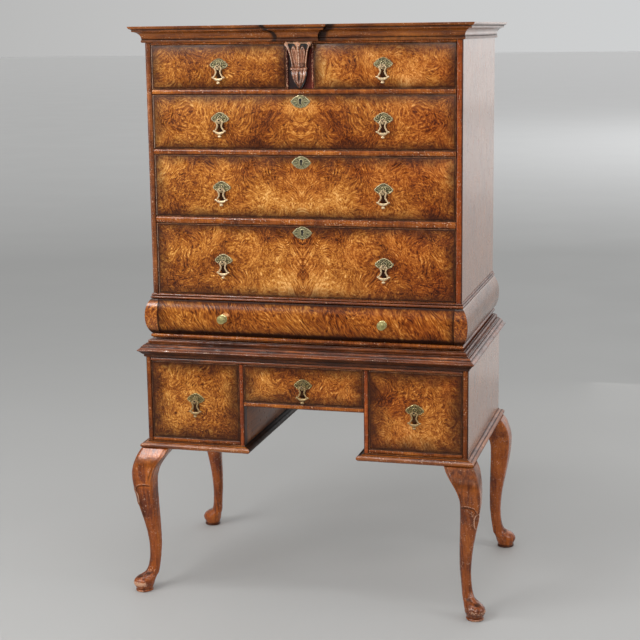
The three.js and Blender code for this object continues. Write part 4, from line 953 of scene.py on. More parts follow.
# --------------------------------------------------------------------- the legs
LEG = np.array([
    [382.7, 389.0, 3.0, 464.5, 36.5, 1.00, 10.0], [370, 395.8, -3.5, 472.0, 37.0, 1.00, 9.5], [355, 404.0, -15.0, 478.0, 34.5, 0.99, 9.0],
    [340, 411.0, -22.0, 483.5, 31.0, 1.02, 8.5], [320, 416.8, -25.4, 488.5, 27.2, 1.07, 7.5], [300, 418.8, -24.6, 492.0, 24.2, 1.12, 6.5],
    [270, 417.4, -22.6, 494.5, 22.1, 1.17, 5.0], [240, 414.4, -19.8, 495.2, 20.0, 1.21, 3.9], [210, 410.9, -15.6, 495.8, 18.0, 1.22, 3.2],
    [180, 407.6, -11.3, 495.8, 16.1, 1.20, 2.8], [150, 405.2, -7.4, 495.4, 14.5, 1.18, 2.6], [120, 404.3, -4.8, 495.8, 13.3, 1.17, 2.5],
    [90, 405.9, -4.0, 497.8, 12.3, 1.18, 2.4], [68, 408.4, -5.5, 501.8, 12.4, 1.173, 2.3], [56, 410.7, -8.0, 504.8, 13.4, 1.18, 2.2],
    [50, 413.0, -9.9, 506.6, 14.2, 1.25, 2.15], [45.5, 416.1, -12.5, 508.4, 15.2, 1.37, 2.1], [42, 419.6, -15.5, 510.2, 16.8, 1.44, 2.1],
    [38, 424.2, -19.4, 512.6, 19.5, 1.37, 2.05], [33.5, 427.6, -22.2, 514.0, 22.2, 1.27, 2.0], [28, 430.2, -24.4, 515.4, 24.1, 1.18, 2.0],
    [22, 431.6, -25.6, 516.3, 24.7, 1.13, 2.0], [16, 431.6, -25.6, 516.6, 23.3, 1.11, 2.0], [11, 431.0, -25.2, 516.4, 20.9, 1.10, 2.0]])


def pchip(x, y, q):
    """Smooth interpolation that doesn't overshoot; x rises."""
    h, d = np.diff(x), np.diff(y) / np.diff(x)
    m = np.zeros_like(y)
    m[0], m[-1] = d[0], d[-1]
    for i in range(1, len(y) - 1):
        if d[i - 1] * d[i] > 0:
            w1, w2 = 2 * h[i] + h[i - 1], h[i] + 2 * h[i - 1]
            m[i] = (w1 + w2) / (w1 / d[i - 1] + w2 / d[i])
    k = np.clip(np.searchsorted(x, q) - 1, 0, len(x) - 2)
    t = (q - x[k]) / h[k]
    return (2 * t ** 3 - 3 * t ** 2 + 1) * y[k] + (t ** 3 - 2 * t ** 2 + t) * h[k] * m[k] + (-2 * t ** 3 + 3 * t ** 2) * y[k + 1] + (t ** 3 - t ** 2) * h[k] * m[k + 1]


def bumpf(d, w):
    return np.exp(-(d / w) ** 2)


def leg(name, sx, front):
    sy = -1 if front else 1
    zs = np.concatenate([np.linspace(12, 36, 14), np.linspace(37, 52, 20), np.linspace(53.5, 228, 46)] + ([np.linspace(229.2, 300, 58), np.linspace(302.4, 382.7, 34)] if front else [np.linspace(231.5, 382.7, 46)]))
    T = LEG[::-1]
    cols = [pchip(T[:, 0], T[:, i], zs) for i in range(7)]
    _, cx, cf, cb, a, k, n = cols
    # the pad under the club, then the flat it stands on
    pad = [(0.0, 0.80), (0.0, 0.93), (0.5, 0.97), (1.5, 0.995), (3.0, 1.0), (4.2, 0.985), (5.0, 0.94), (5.8, 0.90), (6.8, 0.90), (8.0, 0.93), (9.6, 0.975)]
    zs = np.concatenate([[p[0] for p in pad], zs])
    rad = np.array([p[1] for p in pad]) * 21.5
    first = len(pad)
    cx = np.concatenate([np.full(first, cx[0] + 0.1), cx])
    cf = np.concatenate([np.full(first, cf[0] + 0.3), cf])
    cb = np.concatenate([np.full(first, cb[0] + 0.5), cb])
    a = np.concatenate([rad, a])
    k = np.concatenate([[1.07] * 8 + [1.075, 1.085, 1.095], k])
    n = np.concatenate([[2.0] * first, n])
    sides = 144 if front else 96
    # each quarter of a ring is spaced evenly along its length, with a few more points at the arris
    tq = np.linspace(0, np.pi / 2, 1201)
    T_ = np.zeros((len(zs), sides))
    for i in range(len(zs)):
        fx, fy = np.cos(tq) ** (2 / n[i]), np.sin(tq) ** (2 / n[i])
        ln = np.concatenate([[0], np.cumsum(np.hypot(np.diff(fx), np.diff(fy)))])
        ln = 0.72 * ln / ln[-1] + 0.28 * tq / tq[-1]
        q = np.interp((np.arange(sides // 4) + 0.5) / (sides // 4), ln, tq)
        T_[i] = np.concatenate([q + j * np.pi / 2 for j in range(4)])
    c, s = np.cos(T_), np.sin(T_)
    X = a[:, None] * np.sign(c) * np.abs(c) ** (2 / n[:, None])
    Y = a[:, None] * np.sign(s) * np.abs(s) ** (2 / n[:, None])
    u = (X + Y) * (k[:, None] - 1) / 2
    ox, oy = X + u, Y + u                       # ox is away from the middle of the stand, oy away from its depth
    Z = np.repeat(zs[:, None], sides, 1)
    # outward direction of each point
    dx, dy = np.sign(c) * np.abs(c) ** (2 - 2 / n[:, None]), np.sign(s) * np.abs(s) ** (2 - 2 / n[:, None])
    ln = np.hypot(dx, dy)
    dx, dy = dx / ln, dy / ln
    # ridge values pale carved ridges as wear and painted highlights; groove values darken grooves and chosen places as
    # dirt and painted shade
    lift, ridge_wear_and_sheen, grooves_and_shade = np.zeros_like(ox), np.zeros_like(ox), np.zeros_like(ox)
    facex, facey = np.clip((dx - 0.72) / 0.2, 0, 1), np.clip((dy - 0.72) / 0.2, 0, 1)
    corner = np.clip((np.minimum(dx, dy) - 0.30) / 0.3, 0, 1)
    if front:
        # carved edge of the knee: an arched line over the two show faces that drops to a scroll on the arris
        for face, pos in ((facey, ox / a[:, None]), (facex, oy / a[:, None])):
            line = 287 + 5.5 * (1 - (pos + 0.25) ** 2) - 14 * np.clip(pos - 0.55, 0, 1) ** 1.2 * 2.0
            ridge_wear_and_sheen, grooves_and_shade = np.maximum(ridge_wear_and_sheen, 0.85 * face * bumpf(Z - line, 1.6)), np.maximum(grooves_and_shade, 0.85 * face * bumpf(Z - line + 4.6, 2.4))
            lift += face * (1.2 * bumpf(Z - line, 1.6) - 0.9 * bumpf(Z - line + 3.5, 1.8) + 0.5 / (1 + np.exp(-(Z - line) / 2.2)) * np.clip((340 - Z) / 40, 0, 1))
        side = np.abs(ox - oy) / 1.414
        half_w = 6.4 * np.sqrt(np.clip(1 - ((Z - 254) / 20.0) ** 2, 0, 1)) * (1 + 0.25 * (Z - 254) / 20)
        on = np.clip((np.minimum(dx, dy) + 0.15) / 0.25, 0, 1) * (Z > 234) * (Z < 274)
        ridge_wear_and_sheen, grooves_and_shade = np.maximum(ridge_wear_and_sheen, on * bumpf(side - half_w, 1.3)), np.maximum(grooves_and_shade, 0.6 * on * bumpf(side - half_w - 3.0, 1.6))
        lift += on * (1.5 * bumpf(side - half_w, 1.4) - 0.7 * bumpf(side, 2.4) * (half_w > 3))
        # slim bead down the inner arris of the knee
        da_ = np.hypot(ox + 0.935 * a[:, None], oy - 0.935 * a[:, None])
        knee = np.clip((Z - 288) / 20, 0, 1)
        ridge_wear_and_sheen, grooves_and_shade = np.maximum(ridge_wear_and_sheen, 0.8 * knee * bumpf(da_, 2.2)), np.maximum(grooves_and_shade, 0.8 * knee * bumpf(da_ - 5.4, 2.4))
        lift += knee * (0.9 * bumpf(da_, 2.6) - 0.8 * bumpf(da_ - 5.4, 1.7))
    # the tongue that runs down on to the club, a hollow at each side of it, and the groove over the pad; the tongue's
    # edges get a painted highlight, the hollows and groove dirt and painted shade
    side = np.abs(ox - oy) / 1.414
    outer = np.clip((dx + dy) / 0.6, 0, 1)
    dip = outer * bumpf(Z - 47, 5.5) * np.clip((side - 4.6) / 1.6, 0, 1)
    edge = outer * np.clip((Z - 40) / 4, 0, 1) * np.clip((84 - Z) / 24, 0, 1) * bumpf(side - 3.6, 1.2)
    ridge_wear_and_sheen, grooves_and_shade = np.maximum(ridge_wear_and_sheen, 0.7 * edge), np.maximum(np.maximum(grooves_and_shade, 0.85 * dip), bumpf(Z - 6.3, 1.2))
    if front:
        # painted shade under the knee's shoulder and on the crown of the toe; on the left leg down its outer side, on
        # the right leg over its upper knee
        grooves_and_shade = np.maximum(grooves_and_shade, 0.66 * np.clip((367 - Z) / 5, 0, 1) * np.clip((Z - 312) / 36, 0, 1))
        grooves_and_shade = np.maximum(grooves_and_shade, 0.95 * outer * bumpf(Z - 39.5, 4.2) * np.clip((11 - side) / 4, 0, 1))
        if sx < 0:
            rim = ox / a[:, None]
            grooves_and_shade = np.maximum(grooves_and_shade, 0.62 * np.clip((rim + 0.04) / 0.62, 0, 1) * (dy > 0.25) * np.clip((Z - 56) / 20, 0, 1) * np.clip((330 - Z) / 60, 0, 1))
            grooves_and_shade = np.maximum(grooves_and_shade, 0.72 * np.clip((dx - 0.50) / 0.32, 0, 1) * np.clip((Z - 34) / 20, 0, 1) * np.clip((372 - Z) / 20, 0, 1))
        else:
            grooves_and_shade = np.maximum(grooves_and_shade, 0.58 * np.clip((Z - 312) / 30, 0, 1))
    else:
        # painted shade on the pads of the back feet
        grooves_and_shade = np.maximum(grooves_and_shade, np.where(Z < 5.6, 1.0, 0.0))
    lift += 0.8 * edge - 1.1 * dip
    # a painted highlight on the front of the club and on the front pads, standing in for light bounced up from below
    ball_bounce_light = (0.5 if not front else 0.76 if sx < 0 else 0.66) * np.clip((dx + dy + (0.75 if sx < 0 else 0.45)) / 1.2, 0, 1) * bumpf(Z - 22, 10)
    if front:
        ball_bounce_light = np.maximum(ball_bounce_light, 0.62 * np.clip((dx + dy + 0.3) / 1.2, 0, 1) * (Z < 4.5))
    # soft dents
    r = np.random.default_rng(seed_of(name))
    for _ in range(46):
        i, j = r.integers(first, len(zs)), r.integers(0, sides)
        dz, da = (Z - zs[i]) / r.uniform(2.5, 7), np.hypot(ox - ox[i, j], oy - oy[i, j]) / r.uniform(2.0, 6)
        lift -= r.uniform(0.15, 0.5) * (0.35 if zs[i] < 70 else 1.0) * np.exp(-(dz ** 2) - da ** 2)
    lift *= np.clip((Z - 14) / 20, 0, 1) * np.clip((382.7 - Z) / 3, 0, 1)
    ox, oy = ox + dx * lift, oy + dy * lift
    Px = sx * (cx[:, None] + ox)
    Py = (cf if front else cb)[:, None] + sy * oy
    V = np.stack([Px, Py, Z], 2).reshape(-1, 3)
    R, F = len(zs), []
    for i in range(R - 1):
        for j in range(sides):
            p, q = i * sides + j, i * sides + (j + 1) % sides
            F.append((p, q, q + sides, p + sides))
    F += [tuple(range(sides)), tuple((R - 1) * sides + j for j in range(sides))]
    me, bm = raw_mesh(name, V, F)
    bm.to_mesh(me)
    bm.free()
    curvature(me, 3.6, 2, 0.5, true_scale=True)
    grime_and_shade, rub = np.zeros(len(me.vertices), np.float32), np.zeros(len(me.vertices), np.float32)
    me.attributes["dirt_and_shade"].data.foreach_get("value", grime_and_shade)
    me.attributes["wear_and_sheen"].data.foreach_get("value", rub)
    grime_and_shade = np.maximum(grime_and_shade * np.clip((0.352 - positions(me)[:, 2]) / 0.02, 0, 1), 0.85 * grooves_and_shade.ravel())
    me.attributes["dirt_and_shade"].data.foreach_set("value", grime_and_shade.astype(np.float32))
    me.attributes["wear_and_sheen"].data.foreach_set("value", np.maximum(np.maximum(rub, ball_bounce_light.ravel()), 0.86 * ridge_wear_and_sheen.ravel()).astype(np.float32))
    grain_uv(me, 2, name)
    return finish(name, me, "leg" if front and sx > 0 else "leg_lit", "carcass", name.replace("_carved", ""), 50)


leg("leg_front_left_carved", -1, True)
leg("leg_front_right_carved", 1, True)
leg("leg_back_left_carved", -1, False)
leg("leg_back_right_carved", 1, False)


# ---------------------------------------------------------------- the carved bracket
CORB = np.array([[1283.6, 2.2, -4.6], [1286, 6.0, -6.5], [1290, 9.6, -8.4], [1296, 12.4, -9.4], [1303, 15.2, -10.2], [1312, 17.6, -10.4], [1320, 18.8, -9.4], [1325, 19.0, -8.2], [1326.2, 20.6, -9.6],
                 [1329, 21.4, -11.2], [1331.8, 20.6, -9.6], [1333, 18.6, -7.4], [1338, 18.4, -7.2], [1350, 20.0, -8.6], [1366, 23.0, -11.6], [1378, 27.2, -15.2], [1384.5, 30.8, -17.4], [1387.2, 31.8, -17.8]])


def corbel():
    nz, nx = 230, 96
    zs = np.linspace(1283.6, 1387.2, nz)
    w, f = pchip(CORB[:, 0], CORB[:, 1], zs), pchip(CORB[:, 0], CORB[:, 2], zs)
    v = np.linspace(-1, 1, nx)
    Zg, Vg = np.meshgrid(zs, v, indexing="ij")
    Xg = w[:, None] * v[None]
    base_y = f[:, None] + np.minimum(4.4, -f[:, None] * 0.55) * (1 - 0.35 * np.abs(Vg) ** 4)
    h = np.zeros_like(Xg)                        # carved height, outwards

    def ridge(path, width, height):
        nonlocal h
        d = np.full_like(Xg, 1e9)
        for (x0, z0, k0), (x1, z1, k1) in zip(path[:-1], path[1:]):
            bx, bz = x1 - x0, z1 - z0
            tt = np.clip(((Xg - x0) * bx + (Zg - z0) * bz) / (bx * bx + bz * bz), 0, 1)
            d = np.minimum(d, np.hypot(Xg - x0 - tt * bx, Zg - z0 - tt * bz) / (k0 + (k1 - k0) * tt))
        h = np.maximum(h, height * np.exp(-(d / width) ** 2))

    def curve(pts, k):
        sp = spline(pts, 5)
        return [(a_, b_, k(i_ / (len(sp) - 1))) for i_, (a_, b_) in enumerate(sp)]

    def body(pts, k, height):
        nonlocal h
        d = np.full_like(Xg, 1e9)
        sp = curve(pts, k)
        for (x0, z0, k0), (x1, z1, k1) in zip(sp[:-1], sp[1:]):
            bx, bz = x1 - x0, z1 - z0
            tt = np.clip(((Xg - x0) * bx + (Zg - z0) * bz) / (bx * bx + bz * bz), 0, 1)
            d = np.minimum(d, np.hypot(Xg - x0 - tt * bx, Zg - z0 - tt * bz) / (k0 + (k1 - k0) * tt))
        h = np.maximum(h, height * np.clip((1.12 - d) / 0.24, 0, 1) ** 0.7)

    for s in (-1, 1):
        body([(s * 6.8, 1338), (s * 8.0, 1350), (s * 9.2, 1364), (s * 10.6, 1378)], lambda t: 2.6 + 4.2 * math.sin(math.pi * min(1, 0.15 + 0.75 * t)), 1.9)
        body([(s * 17.2, 1335), (s * 18.0, 1350), (s * 21.4, 1366), (s * 25.8, 1378), (s * 29.4, 1387)], lambda t: 2.2 + 1.2 * t, 2.2)
        body([(s * 14.0, 1323), (s * 13.0, 1313), (s * 10.6, 1304), (s * 7.6, 1297)], lambda t: 3.4 - 1.4 * t, 2.6)
        body([(s * 5.0, 1323), (s * 5.4, 1313), (s * 4.4, 1303), (s * 1.6, 1294)], lambda t: 3.6 - 1.2 * t, 2.8)
        # margin of the leaf, the two looped leaves with their ribs, and the lobes under the band
        ridge(curve([(s * 17.4, 1334.5), (s * 18.3, 1350), (s * 21.3, 1366), (s * 25.5, 1378), (s * 29.6, 1387)], lambda t: 1.0 + 0.5 * t), 2.2, 4.4)
        ridge(curve([(s * 6.2, 1338), (s * 3.6, 1350), (s * 4.2, 1362), (s * 7.0, 1373), (s * 10.6, 1380), (s * 15.0, 1374), (s * 14.4, 1362), (s * 11.4, 1350), (s * 7.6, 1338)],
                    lambda t: 0.8 + 0.5 * math.sin(math.pi * t)), 1.45, 4.3)
        ridge(curve([(s * 6.8, 1343), (s * 8.6, 1356), (s * 10.4, 1371)], lambda t: 1.0), 1.0, 3.4)
        ridge(curve([(s * 14.2, 1337), (s * 16.0, 1350), (s * 18.6, 1364)], lambda t: 1.0), 0.8, 2.2)
        ridge(curve([(s * 14.6, 1322.5), (s * 13.8, 1313), (s * 11.4, 1304), (s * 8.4, 1298)], lambda t: 1.2 - 0.4 * t), 1.9, 4.0)
        ridge(curve([(s * 4.4, 1322.5), (s * 5.8, 1314), (s * 5.0, 1304), (s * 2.4, 1296)], lambda t: 1.2 - 0.4 * t), 1.8, 4.3)
        ridge(curve([(s * 9.4, 1322.5), (s * 9.4, 1312), (s * 7.4, 1302)], lambda t: 1.0), 0.8, 2.4)
        ridge([(s * 6.4, 1294.5, 1.0), (s * 3.6, 1289, 0.9)], 1.3, 3.0)
    ridge([(0, 1336, 0.9), (0, 1352, 1.2), (0, 1372, 1.5), (0, 1387, 1.7)], 2.3, 4.5)
    body([(0, 1334), (0, 1360), (0, 1387)], lambda t: 1.9 + 1.0 * t, 3.0)
    body([(-20.4, 1329.2), (0, 1329.2), (20.4, 1329.2)], lambda t: 3.9, 2.2)
    ridge([(0, 1296, 1.0), (0, 1285, 1.2)], 1.7, 3.6)
    for i in range(5):
        d = np.hypot(Xg - (-16.4 + 8.2 * i), (Zg - 1329) * 1.05)
        h = np.maximum(h, 4.2 * np.sqrt(np.clip(1 - (d / 4.0) ** 2, 0, 1)))
    ridge([(-19.6, 1335.2, 1), (19.6, 1335.2, 1)], 0.9, 2.4)
    ridge([(-18.4, 1323.6, 1), (18.4, 1323.6, 1)], 0.9, 2.6)
    h *= np.clip((1 - np.abs(Vg)) * w[:, None] / 1.0, 0, 1)
    h *= np.clip((Zg - 1283.6) / 3, 0, 1)
    depth = h.copy()
    Y = base_y - h
    V = np.stack([Xg, Y, Zg], 2).reshape(-1, 3)
    F = [(i * nx + j, i * nx + j + 1, (i + 1) * nx + j + 1, (i + 1) * nx + j) for i in range(nz - 1) for j in range(nx - 1)]
    # sides and back: the rim is carried back to the wall
    rim = [(0, j) for j in range(nx)] + [(i, nx - 1) for i in range(1, nz)] + [(nz - 1, j) for j in range(nx - 2, -1, -1)] + [(i, 0) for i in range(nz - 2, 0, -1)]
    ids = [i * nx + j for i, j in rim]
    o = len(V)
    V = np.concatenate([V, np.array([(V[k][0], 4.1, V[k][2]) for k in ids])])
    m = len(ids)
    F += [(ids[i], o + i, o + (i + 1) % m, ids[(i + 1) % m]) for i in range(m)]
    F.append(tuple(o + i for i in range(m)))
    me, bm = raw_mesh("corbel_leaves", V, F)
    bm.to_mesh(me)
    bm.free()
    front = depth.reshape(-1)
    rest = len(me.vertices) - len(front)
    # low carving, the sides and the back are darkened as painted shade in the hollows; the high crests get wear and a
    # painted highlight
    attribute(me, "dirt_and_shade", np.concatenate([np.clip(1.2 - front / 1.6, 0, 1), np.full(rest, 0.9)]))
    attribute(me, "wear_and_sheen", np.concatenate([np.clip((front - 3.0) / 1.2, 0, 1) * 0.72, np.zeros(rest)]))
    grain_uv(me, 2, "corbel_leaves")
    return finish("corbel_leaves", me, "corbel", "carcass", "carved_corbel", 60)


corbel()


def lathe(prof, at, axis, sides=32, arc_=None):
    """A closed turned shell: prof is (radius, along) and starts and ends on the axis."""
    ax = np.asarray(axis, float)
    ax /= np.linalg.norm(ax)
    p = np.cross(ax, (0.31, 0.2, 0.93) if abs(ax[2]) < 0.9 else (1, 0, 0))
    p /= np.linalg.norm(p)
    q = np.cross(ax, p)
    at = np.asarray(at, float)
    V, F, rings = [], [], []
    for r, h in prof:
        if r < 1e-6:
            rings.append([len(V)])
            V.append(tuple(at + ax * h))
        else:
            rings.append(list(range(len(V), len(V) + sides)))
            V += [tuple(at + ax * h + r * (math.cos(t) * p + math.sin(t) * q)) for t in 2 * np.pi * np.arange(sides) / sides]
    for A_, B_ in zip(rings[:-1], rings[1:]):
        for j in range(sides):
            a0, a1 = A_[j % len(A_)], A_[(j + 1) % len(A_)]
            b0, b1 = B_[j % len(B_)], B_[(j + 1) % len(B_)]
            f = []
            for x in (a0, a1, b1, b0):
                if x not in f:
                    f.append(x)
            if len(f) > 2:
                F.append(tuple(f))
    return V, F


def tube(path, radii, sides=14, flat=1.0):
    """A closed rod along points of the (x, z) plane at depth y; radii are (in plane, in depth)."""
    P = np.asarray(path, float)
    V, F = [], []
    n = len(P)
    T = np.gradient(P, axis=0)
    T /= np.linalg.norm(T, axis=1)[:, None]
    ang = 2 * np.pi * np.arange(sides) / sides
    for i in range(n):
        side = np.cross(T[i], (0, 1, 0))
        side /= np.linalg.norm(side)
        r0, r1 = radii[i]
        V += [tuple(P[i] + side * r0 * math.cos(t) + np.array((0, 1, 0)) * r1 * math.sin(t)) for t in ang]
    for i in range(n - 1):
        for j in range(sides):
            a, b = i * sides + j, i * sides + (j + 1) % sides
            F.append((a, b, b + sides, a + sides))
    F += [tuple(range(sides)), tuple((n - 1) * sides + j for j in range(sides))]
    return V, F


def abacus():
    """Top block of the bracket: hollow front edge, a scroll at each corner and a flower between."""
    n = 48
    xs = np.linspace(-31.4, 31.4, n)
    fy = -10.0 + 3.0 * np.exp(-((np.abs(xs) - 15) / 7.0) ** 2)
    prof = [(1387.4, 1.2), (1388.2, 0.2), (1391.4, 0.0), (1392.6, 0.4), (1393.3, 1.4)]
    V, F = [], []
    for z, i_ in prof:
        V += [(x, y + i_, z) for x, y in zip(xs, fy)]
    m = len(prof)
    for i in range(m - 1):
        for j in range(n - 1):
            a = i * n + j
            F.append((a, a + 1, a + n + 1, a + n))
    o = len(V)
    V += [(x, 1.6, 1387.4) for x in xs] + [(x, 1.6, 1393.3) for x in xs]
    for j in range(n - 1):
        F += [(j, o + j, o + j + 1, j + 1), ((m - 1) * n + j, (m - 1) * n + j + 1, o + n + j + 1, o + n + j), (o + j, o + n + j, o + n + j + 1, o + j + 1)]
    for j in (0, n - 1):
        F.append(tuple([i * n + j for i in range(m)] + [o + n + j, o + j]))
    # the slab behind the scrolls and flower is the dark recess walnut, standing in for the shadow behind them
    cluster("corbel_abacus_slab", [(V, F)], "recess_shaded", "carcass", "carved_corbel", gain=1.0)
    shells = []
    for s in (-1, 1):
        pts, rr = [], []
        for i in range(30):
            t = i / 29
            a_ = math.radians(-70 + 560 * t)
            rad = 4.2 * (1 - t) + 0.7
            pts.append((s * (27.4 + rad * math.cos(a_) * 0.8), -14.0 - 2.0 * t, 1387.4 + rad * math.sin(a_) * 0.9))
            rr.append((1.7 - 0.6 * t, 1.9 - 0.4 * t))
        shells.append(tube(pts, rr, 12))
    for i in range(5):
        a_ = math.radians(90 + 72 * i)
        shells.append(lathe([(0, -1.4), (1.9, -1.0), (2.9, 0.2), (2.6, 1.4), (1.4, 2.2), (0, 2.5)], (5.0 * math.cos(a_), -14.6, 1386.6 + 3.2 * math.sin(a_)), (0, -1, 0), 16))
    shells.append(lathe([(0, -1.0), (1.8, 0), (2.1, 1.4), (1.5, 2.6), (0, 3.1)], (0, -14.9, 1386.6), (0, -1, 0), 16))
    me = cluster("corbel_abacus", shells, "corbel_top", "carcass", "carved_corbel", gain=1.2)
    return me


def cluster(name, shells, mat, body, nodes, gain=1.0, smooth=45.0, passes=1, axis=2, shaded_shells=0):
    V, F = [], []
    for v, f in shells:
        o = len(V)
        V += [tuple(p) for p in v]
        F += [tuple(o + i for i in x) for x in f]
    me, bm = raw_mesh(name, V, F)
    bm.to_mesh(me)
    bm.free()
    curvature(me, gain, passes)
    # the first shells are made fully dark with no wear: painted shade
    if shaded_shells:
        k = sum(len(v) for v, _ in shells[:shaded_shells])
        for what, value in (("dirt_and_shade", 1.0), ("wear_and_sheen", 0.0)):
            a = np.zeros(len(me.vertices), np.float32)
            me.attributes[what].data.foreach_get("value", a)
            a[:k] = value
            me.attributes[what].data.foreach_set("value", a)
    grain_uv(me, axis, name)
    return finish(name, me, mat, body, nodes, smooth)


abacus()


# ---------------------------------------------------------------------- drawers
def tails(y_end, y_front, z0, z1, n, wide_frac=0.62):
    """Outline of a drawer side in (y, z) with dovetails at its front end."""
    pitch = (z1 - z0) / n
    pts = [(y_end, z0)]
    root = y_front + 15.2
    pts.append((root, z0))
    for i in range(n):
        a, b = z0 + pitch * i, z0 + pitch * (i + 1)
        g0, g1 = pitch * (1 - wide_frac) * 0.5, pitch * (1 - wide_frac) * 0.5
        pts += [(root, a + g0 + pitch * 0.07), (y_front + 4.6, a + g0 - pitch * 0.03), (y_front + 4.6, b - g1 + pitch * 0.03), (root, b - g1 - pitch * 0.07)]
    pts += [(root, z1), (y_end, z1)]
    return pts


def pins(x0, x1, y_front, z0, z1, n, wide_frac=0.62):
    """Blocks of the drawer front that show between the tails."""
    pitch = (z1 - z0) / n
    root = y_front + 15.2
    g = pitch * (1 - wide_frac) * 0.5
    out = []
    for i in range(n + 1):
        lo = z0 if i == 0 else z0 + pitch * i - g
        hi = z1 if i == n else z0 + pitch * i + g
        lo_r = lo if i == 0 else lo - pitch * 0.07 + 0.1
        hi_r = hi if i == n else hi + pitch * 0.07 - 0.1
        lo_f = lo if i == 0 else lo + pitch * 0.03 + 0.1
        hi_f = hi if i == n else hi - pitch * 0.03 - 0.1
        out.append(prism([(y_front + 4.7, lo_f), (root, lo_r), (root, hi_r), (y_front + 4.7, hi_f)], "yz", x0, x1))
    return out


def drawer(name, x0, x1, z0, z1, face, mat, lock=None):
    body = nodes = f"drawer_{name}"
    fx0, fx1, fz0, fz1 = x0 + 0.6, x1 - 0.6, z0 + 0.3, z1 - 0.6
    bx0, bx1, bz1 = x0 + 1.0, x1 - 1.0, z1 - 6.0
    slot = "burr_walnut_drawer"
    cx, cz = (x0 + x1) / 2, (z0 + z1) / 2
    yb = 478.0
    if name == "cushion":
        prof = cushion(34, 0.5)
        sec = section([(-6.6, fz0)] + [(p - 2.0 + 0.0, z) for p, z in prof] + [(-6.6, fz1)], fillet=0.5)
        sec = (sec[0] + np.array([2.0, 0.0]), *sec[1:])
        D = sec[0]
        A = np.stack([np.full(len(D), fx0), -D[:, 0], D[:, 1]], 1)
        B = A.copy()
        B[:, 0] = fx1
        o = run(f"drawer_{name}_front", sec, A, B, (1, 0, 0), np.stack([np.zeros(len(D)), -sec[3][:, 0], sec[3][:, 1]], 1), mat, body, nodes, slot, step=6, nicks=0)
        me = o.data
        per = sec[4]
        mid = per[int(np.argmax(D[:, 0]))]
        cv = corner_verts(me)
        co = positions(me)[cv]
        vv = np.tile((per - mid) * 0.001, len(me.vertices) // len(D))[cv]
        me.uv_layers["grain"].data.foreach_set("uv", np.stack([co[:, 0], vv], 1).astype(np.float32).ravel())
    else:
        bevelled(f"drawer_{name}_front", [box(fx0, fx1, face, face + 4.6, fz0, fz1)], mat, 0, body, nodes, r=1.1, seg=3, face_uv=(cx, cz))
    n = max(2, int(round((bz1 - fz0) / 34)))
    core = [box(bx0 + 10.1, bx1 - 10.1, face + 4.7, face + 20, fz0 + 0.05, bz1 if name != "cushion" else bz1)]
    core.append(box(bx0 + 10.1, bx1 - 10.1, face + 4.7, face + 19.9, bz1 + 0.1, fz1 - 0.05))
    core += pins(bx0, bx0 + 10.0, face, fz0, bz1, n) + pins(bx1 - 10.0, bx1, face, fz0, bz1, n)
    bevelled(f"drawer_{name}_core", core, "oak", 0, body, nodes, r=0.25, seg=1)
    for tag, a, b in (("left", bx0, bx0 + 10.0), ("right", bx1 - 10.0, bx1)):
        bevelled(f"drawer_{name}_side_{tag}", [prism(tails(yb - 10.2, face, fz0, bz1, n), "yz", a, b)], "oak", 1, body, nodes, r=0.5, seg=2)
    bevelled(f"drawer_{name}_back", [box(bx0, bx1, yb - 10.0, yb, fz0 + 9.3, bz1)], "oak", 0, body, nodes, r=0.6)
    bevelled(f"drawer_{name}_bottom", [box(bx0 + 10.1, bx1 - 10.1, face + 20.1, yb, fz0 + 3.0, fz0 + 9.0)], "oak", 0, body, nodes, r=0.4)
    if lock is not None:
        x, z = lock
        y = face + 20.2
        shells = [box(x - 32, x + 32, y, y + 9, z - 22, z + 16), box(x - 36, x + 36, y, y + 2.0, z + 13, z + 17.5)]
        o = bevelled(f"drawer_{name}_lock", shells, "steel", 0, body, nodes, r=0.9, seg=2)
        for i, (dx, dz) in enumerate(((-27, -17), (27, -17), (-27, 8), (27, 8))):
            v, f = lathe([(0, 0), (3.2, 0), (3.2, 0.5), (2.2, 1.3), (0, 1.6)], (x + dx, y + 9.05, z + dz), (0, 1, 0), 16)
            cluster(f"drawer_{name}_lock_screw_{i + 1}", [(v, f)], "steel", body, ())


HW = (UI * 2 - 1.2) / 2000
drawers = {
    "top_left": (-UI, -PX, *SHORT, FACE_U), "top_right": (PX, UI, *SHORT, FACE_U),
    "long_1": (-UI, UI, *LONG[0], FACE_U), "long_2": (-UI, UI, *LONG[1], FACE_U), "long_3": (-UI, UI, *LONG[2], FACE_U),
    "cushion": (-UI, UI, *CUSH, FACE_U),
    "stand_left": (-SI, -WALLO, 410.7, 607.5, FACE_S), "stand_centre": (-KNEE, KNEE, 512.9, 607.5, FACE_S), "stand_right": (WALLO, SI, 410.7, 607.5, FACE_S),
}
# the arris value paints a highlight along a front's left edge; the cushion's bottom and top settings paint shade and
# shadow lines along its edges
look = {
    "top_left": dict(off=(0.3, 2.1, 0.11), tone=-0.01, arris=0.8), "top_right": dict(off=(4.7, 1.2, 0.52), tone=0.06), "long_1": dict(off=(1.6, 6.3, 0.23), book=True, crotch=0.15, tone=0.06, arris=0.75),
    "long_2": dict(off=(8.2, 3.9, 0.77), book=True, tone=0.05, crotch=0.2, arris=0.6), "long_3": dict(off=(2.9, 9.4, 0.35), book=True, crotch=0.9, tone=-0.01, arris=0.5),
    "cushion": dict(off=(6.1, 0.8, 0.9), lean=-0.62, stretch=2.4, border=0.7, tone=-0.04, calm=0.6, low=0.95, high=0.86, gloss=0.03, spec=0.11, shadow_line_at=0.010, rubs=[(-0.194, 0.011, 0.010, 0.006)]),
    "stand_left": dict(off=(9.9, 5.5, 0.15), tone=-0.06, border=1.3), "stand_centre": dict(off=(3.4, 7.7, 0.64), tone=-0.06, border=1.15), "stand_right": dict(off=(5.8, 2.6, 0.42), tone=-0.03, border=1.4),
}
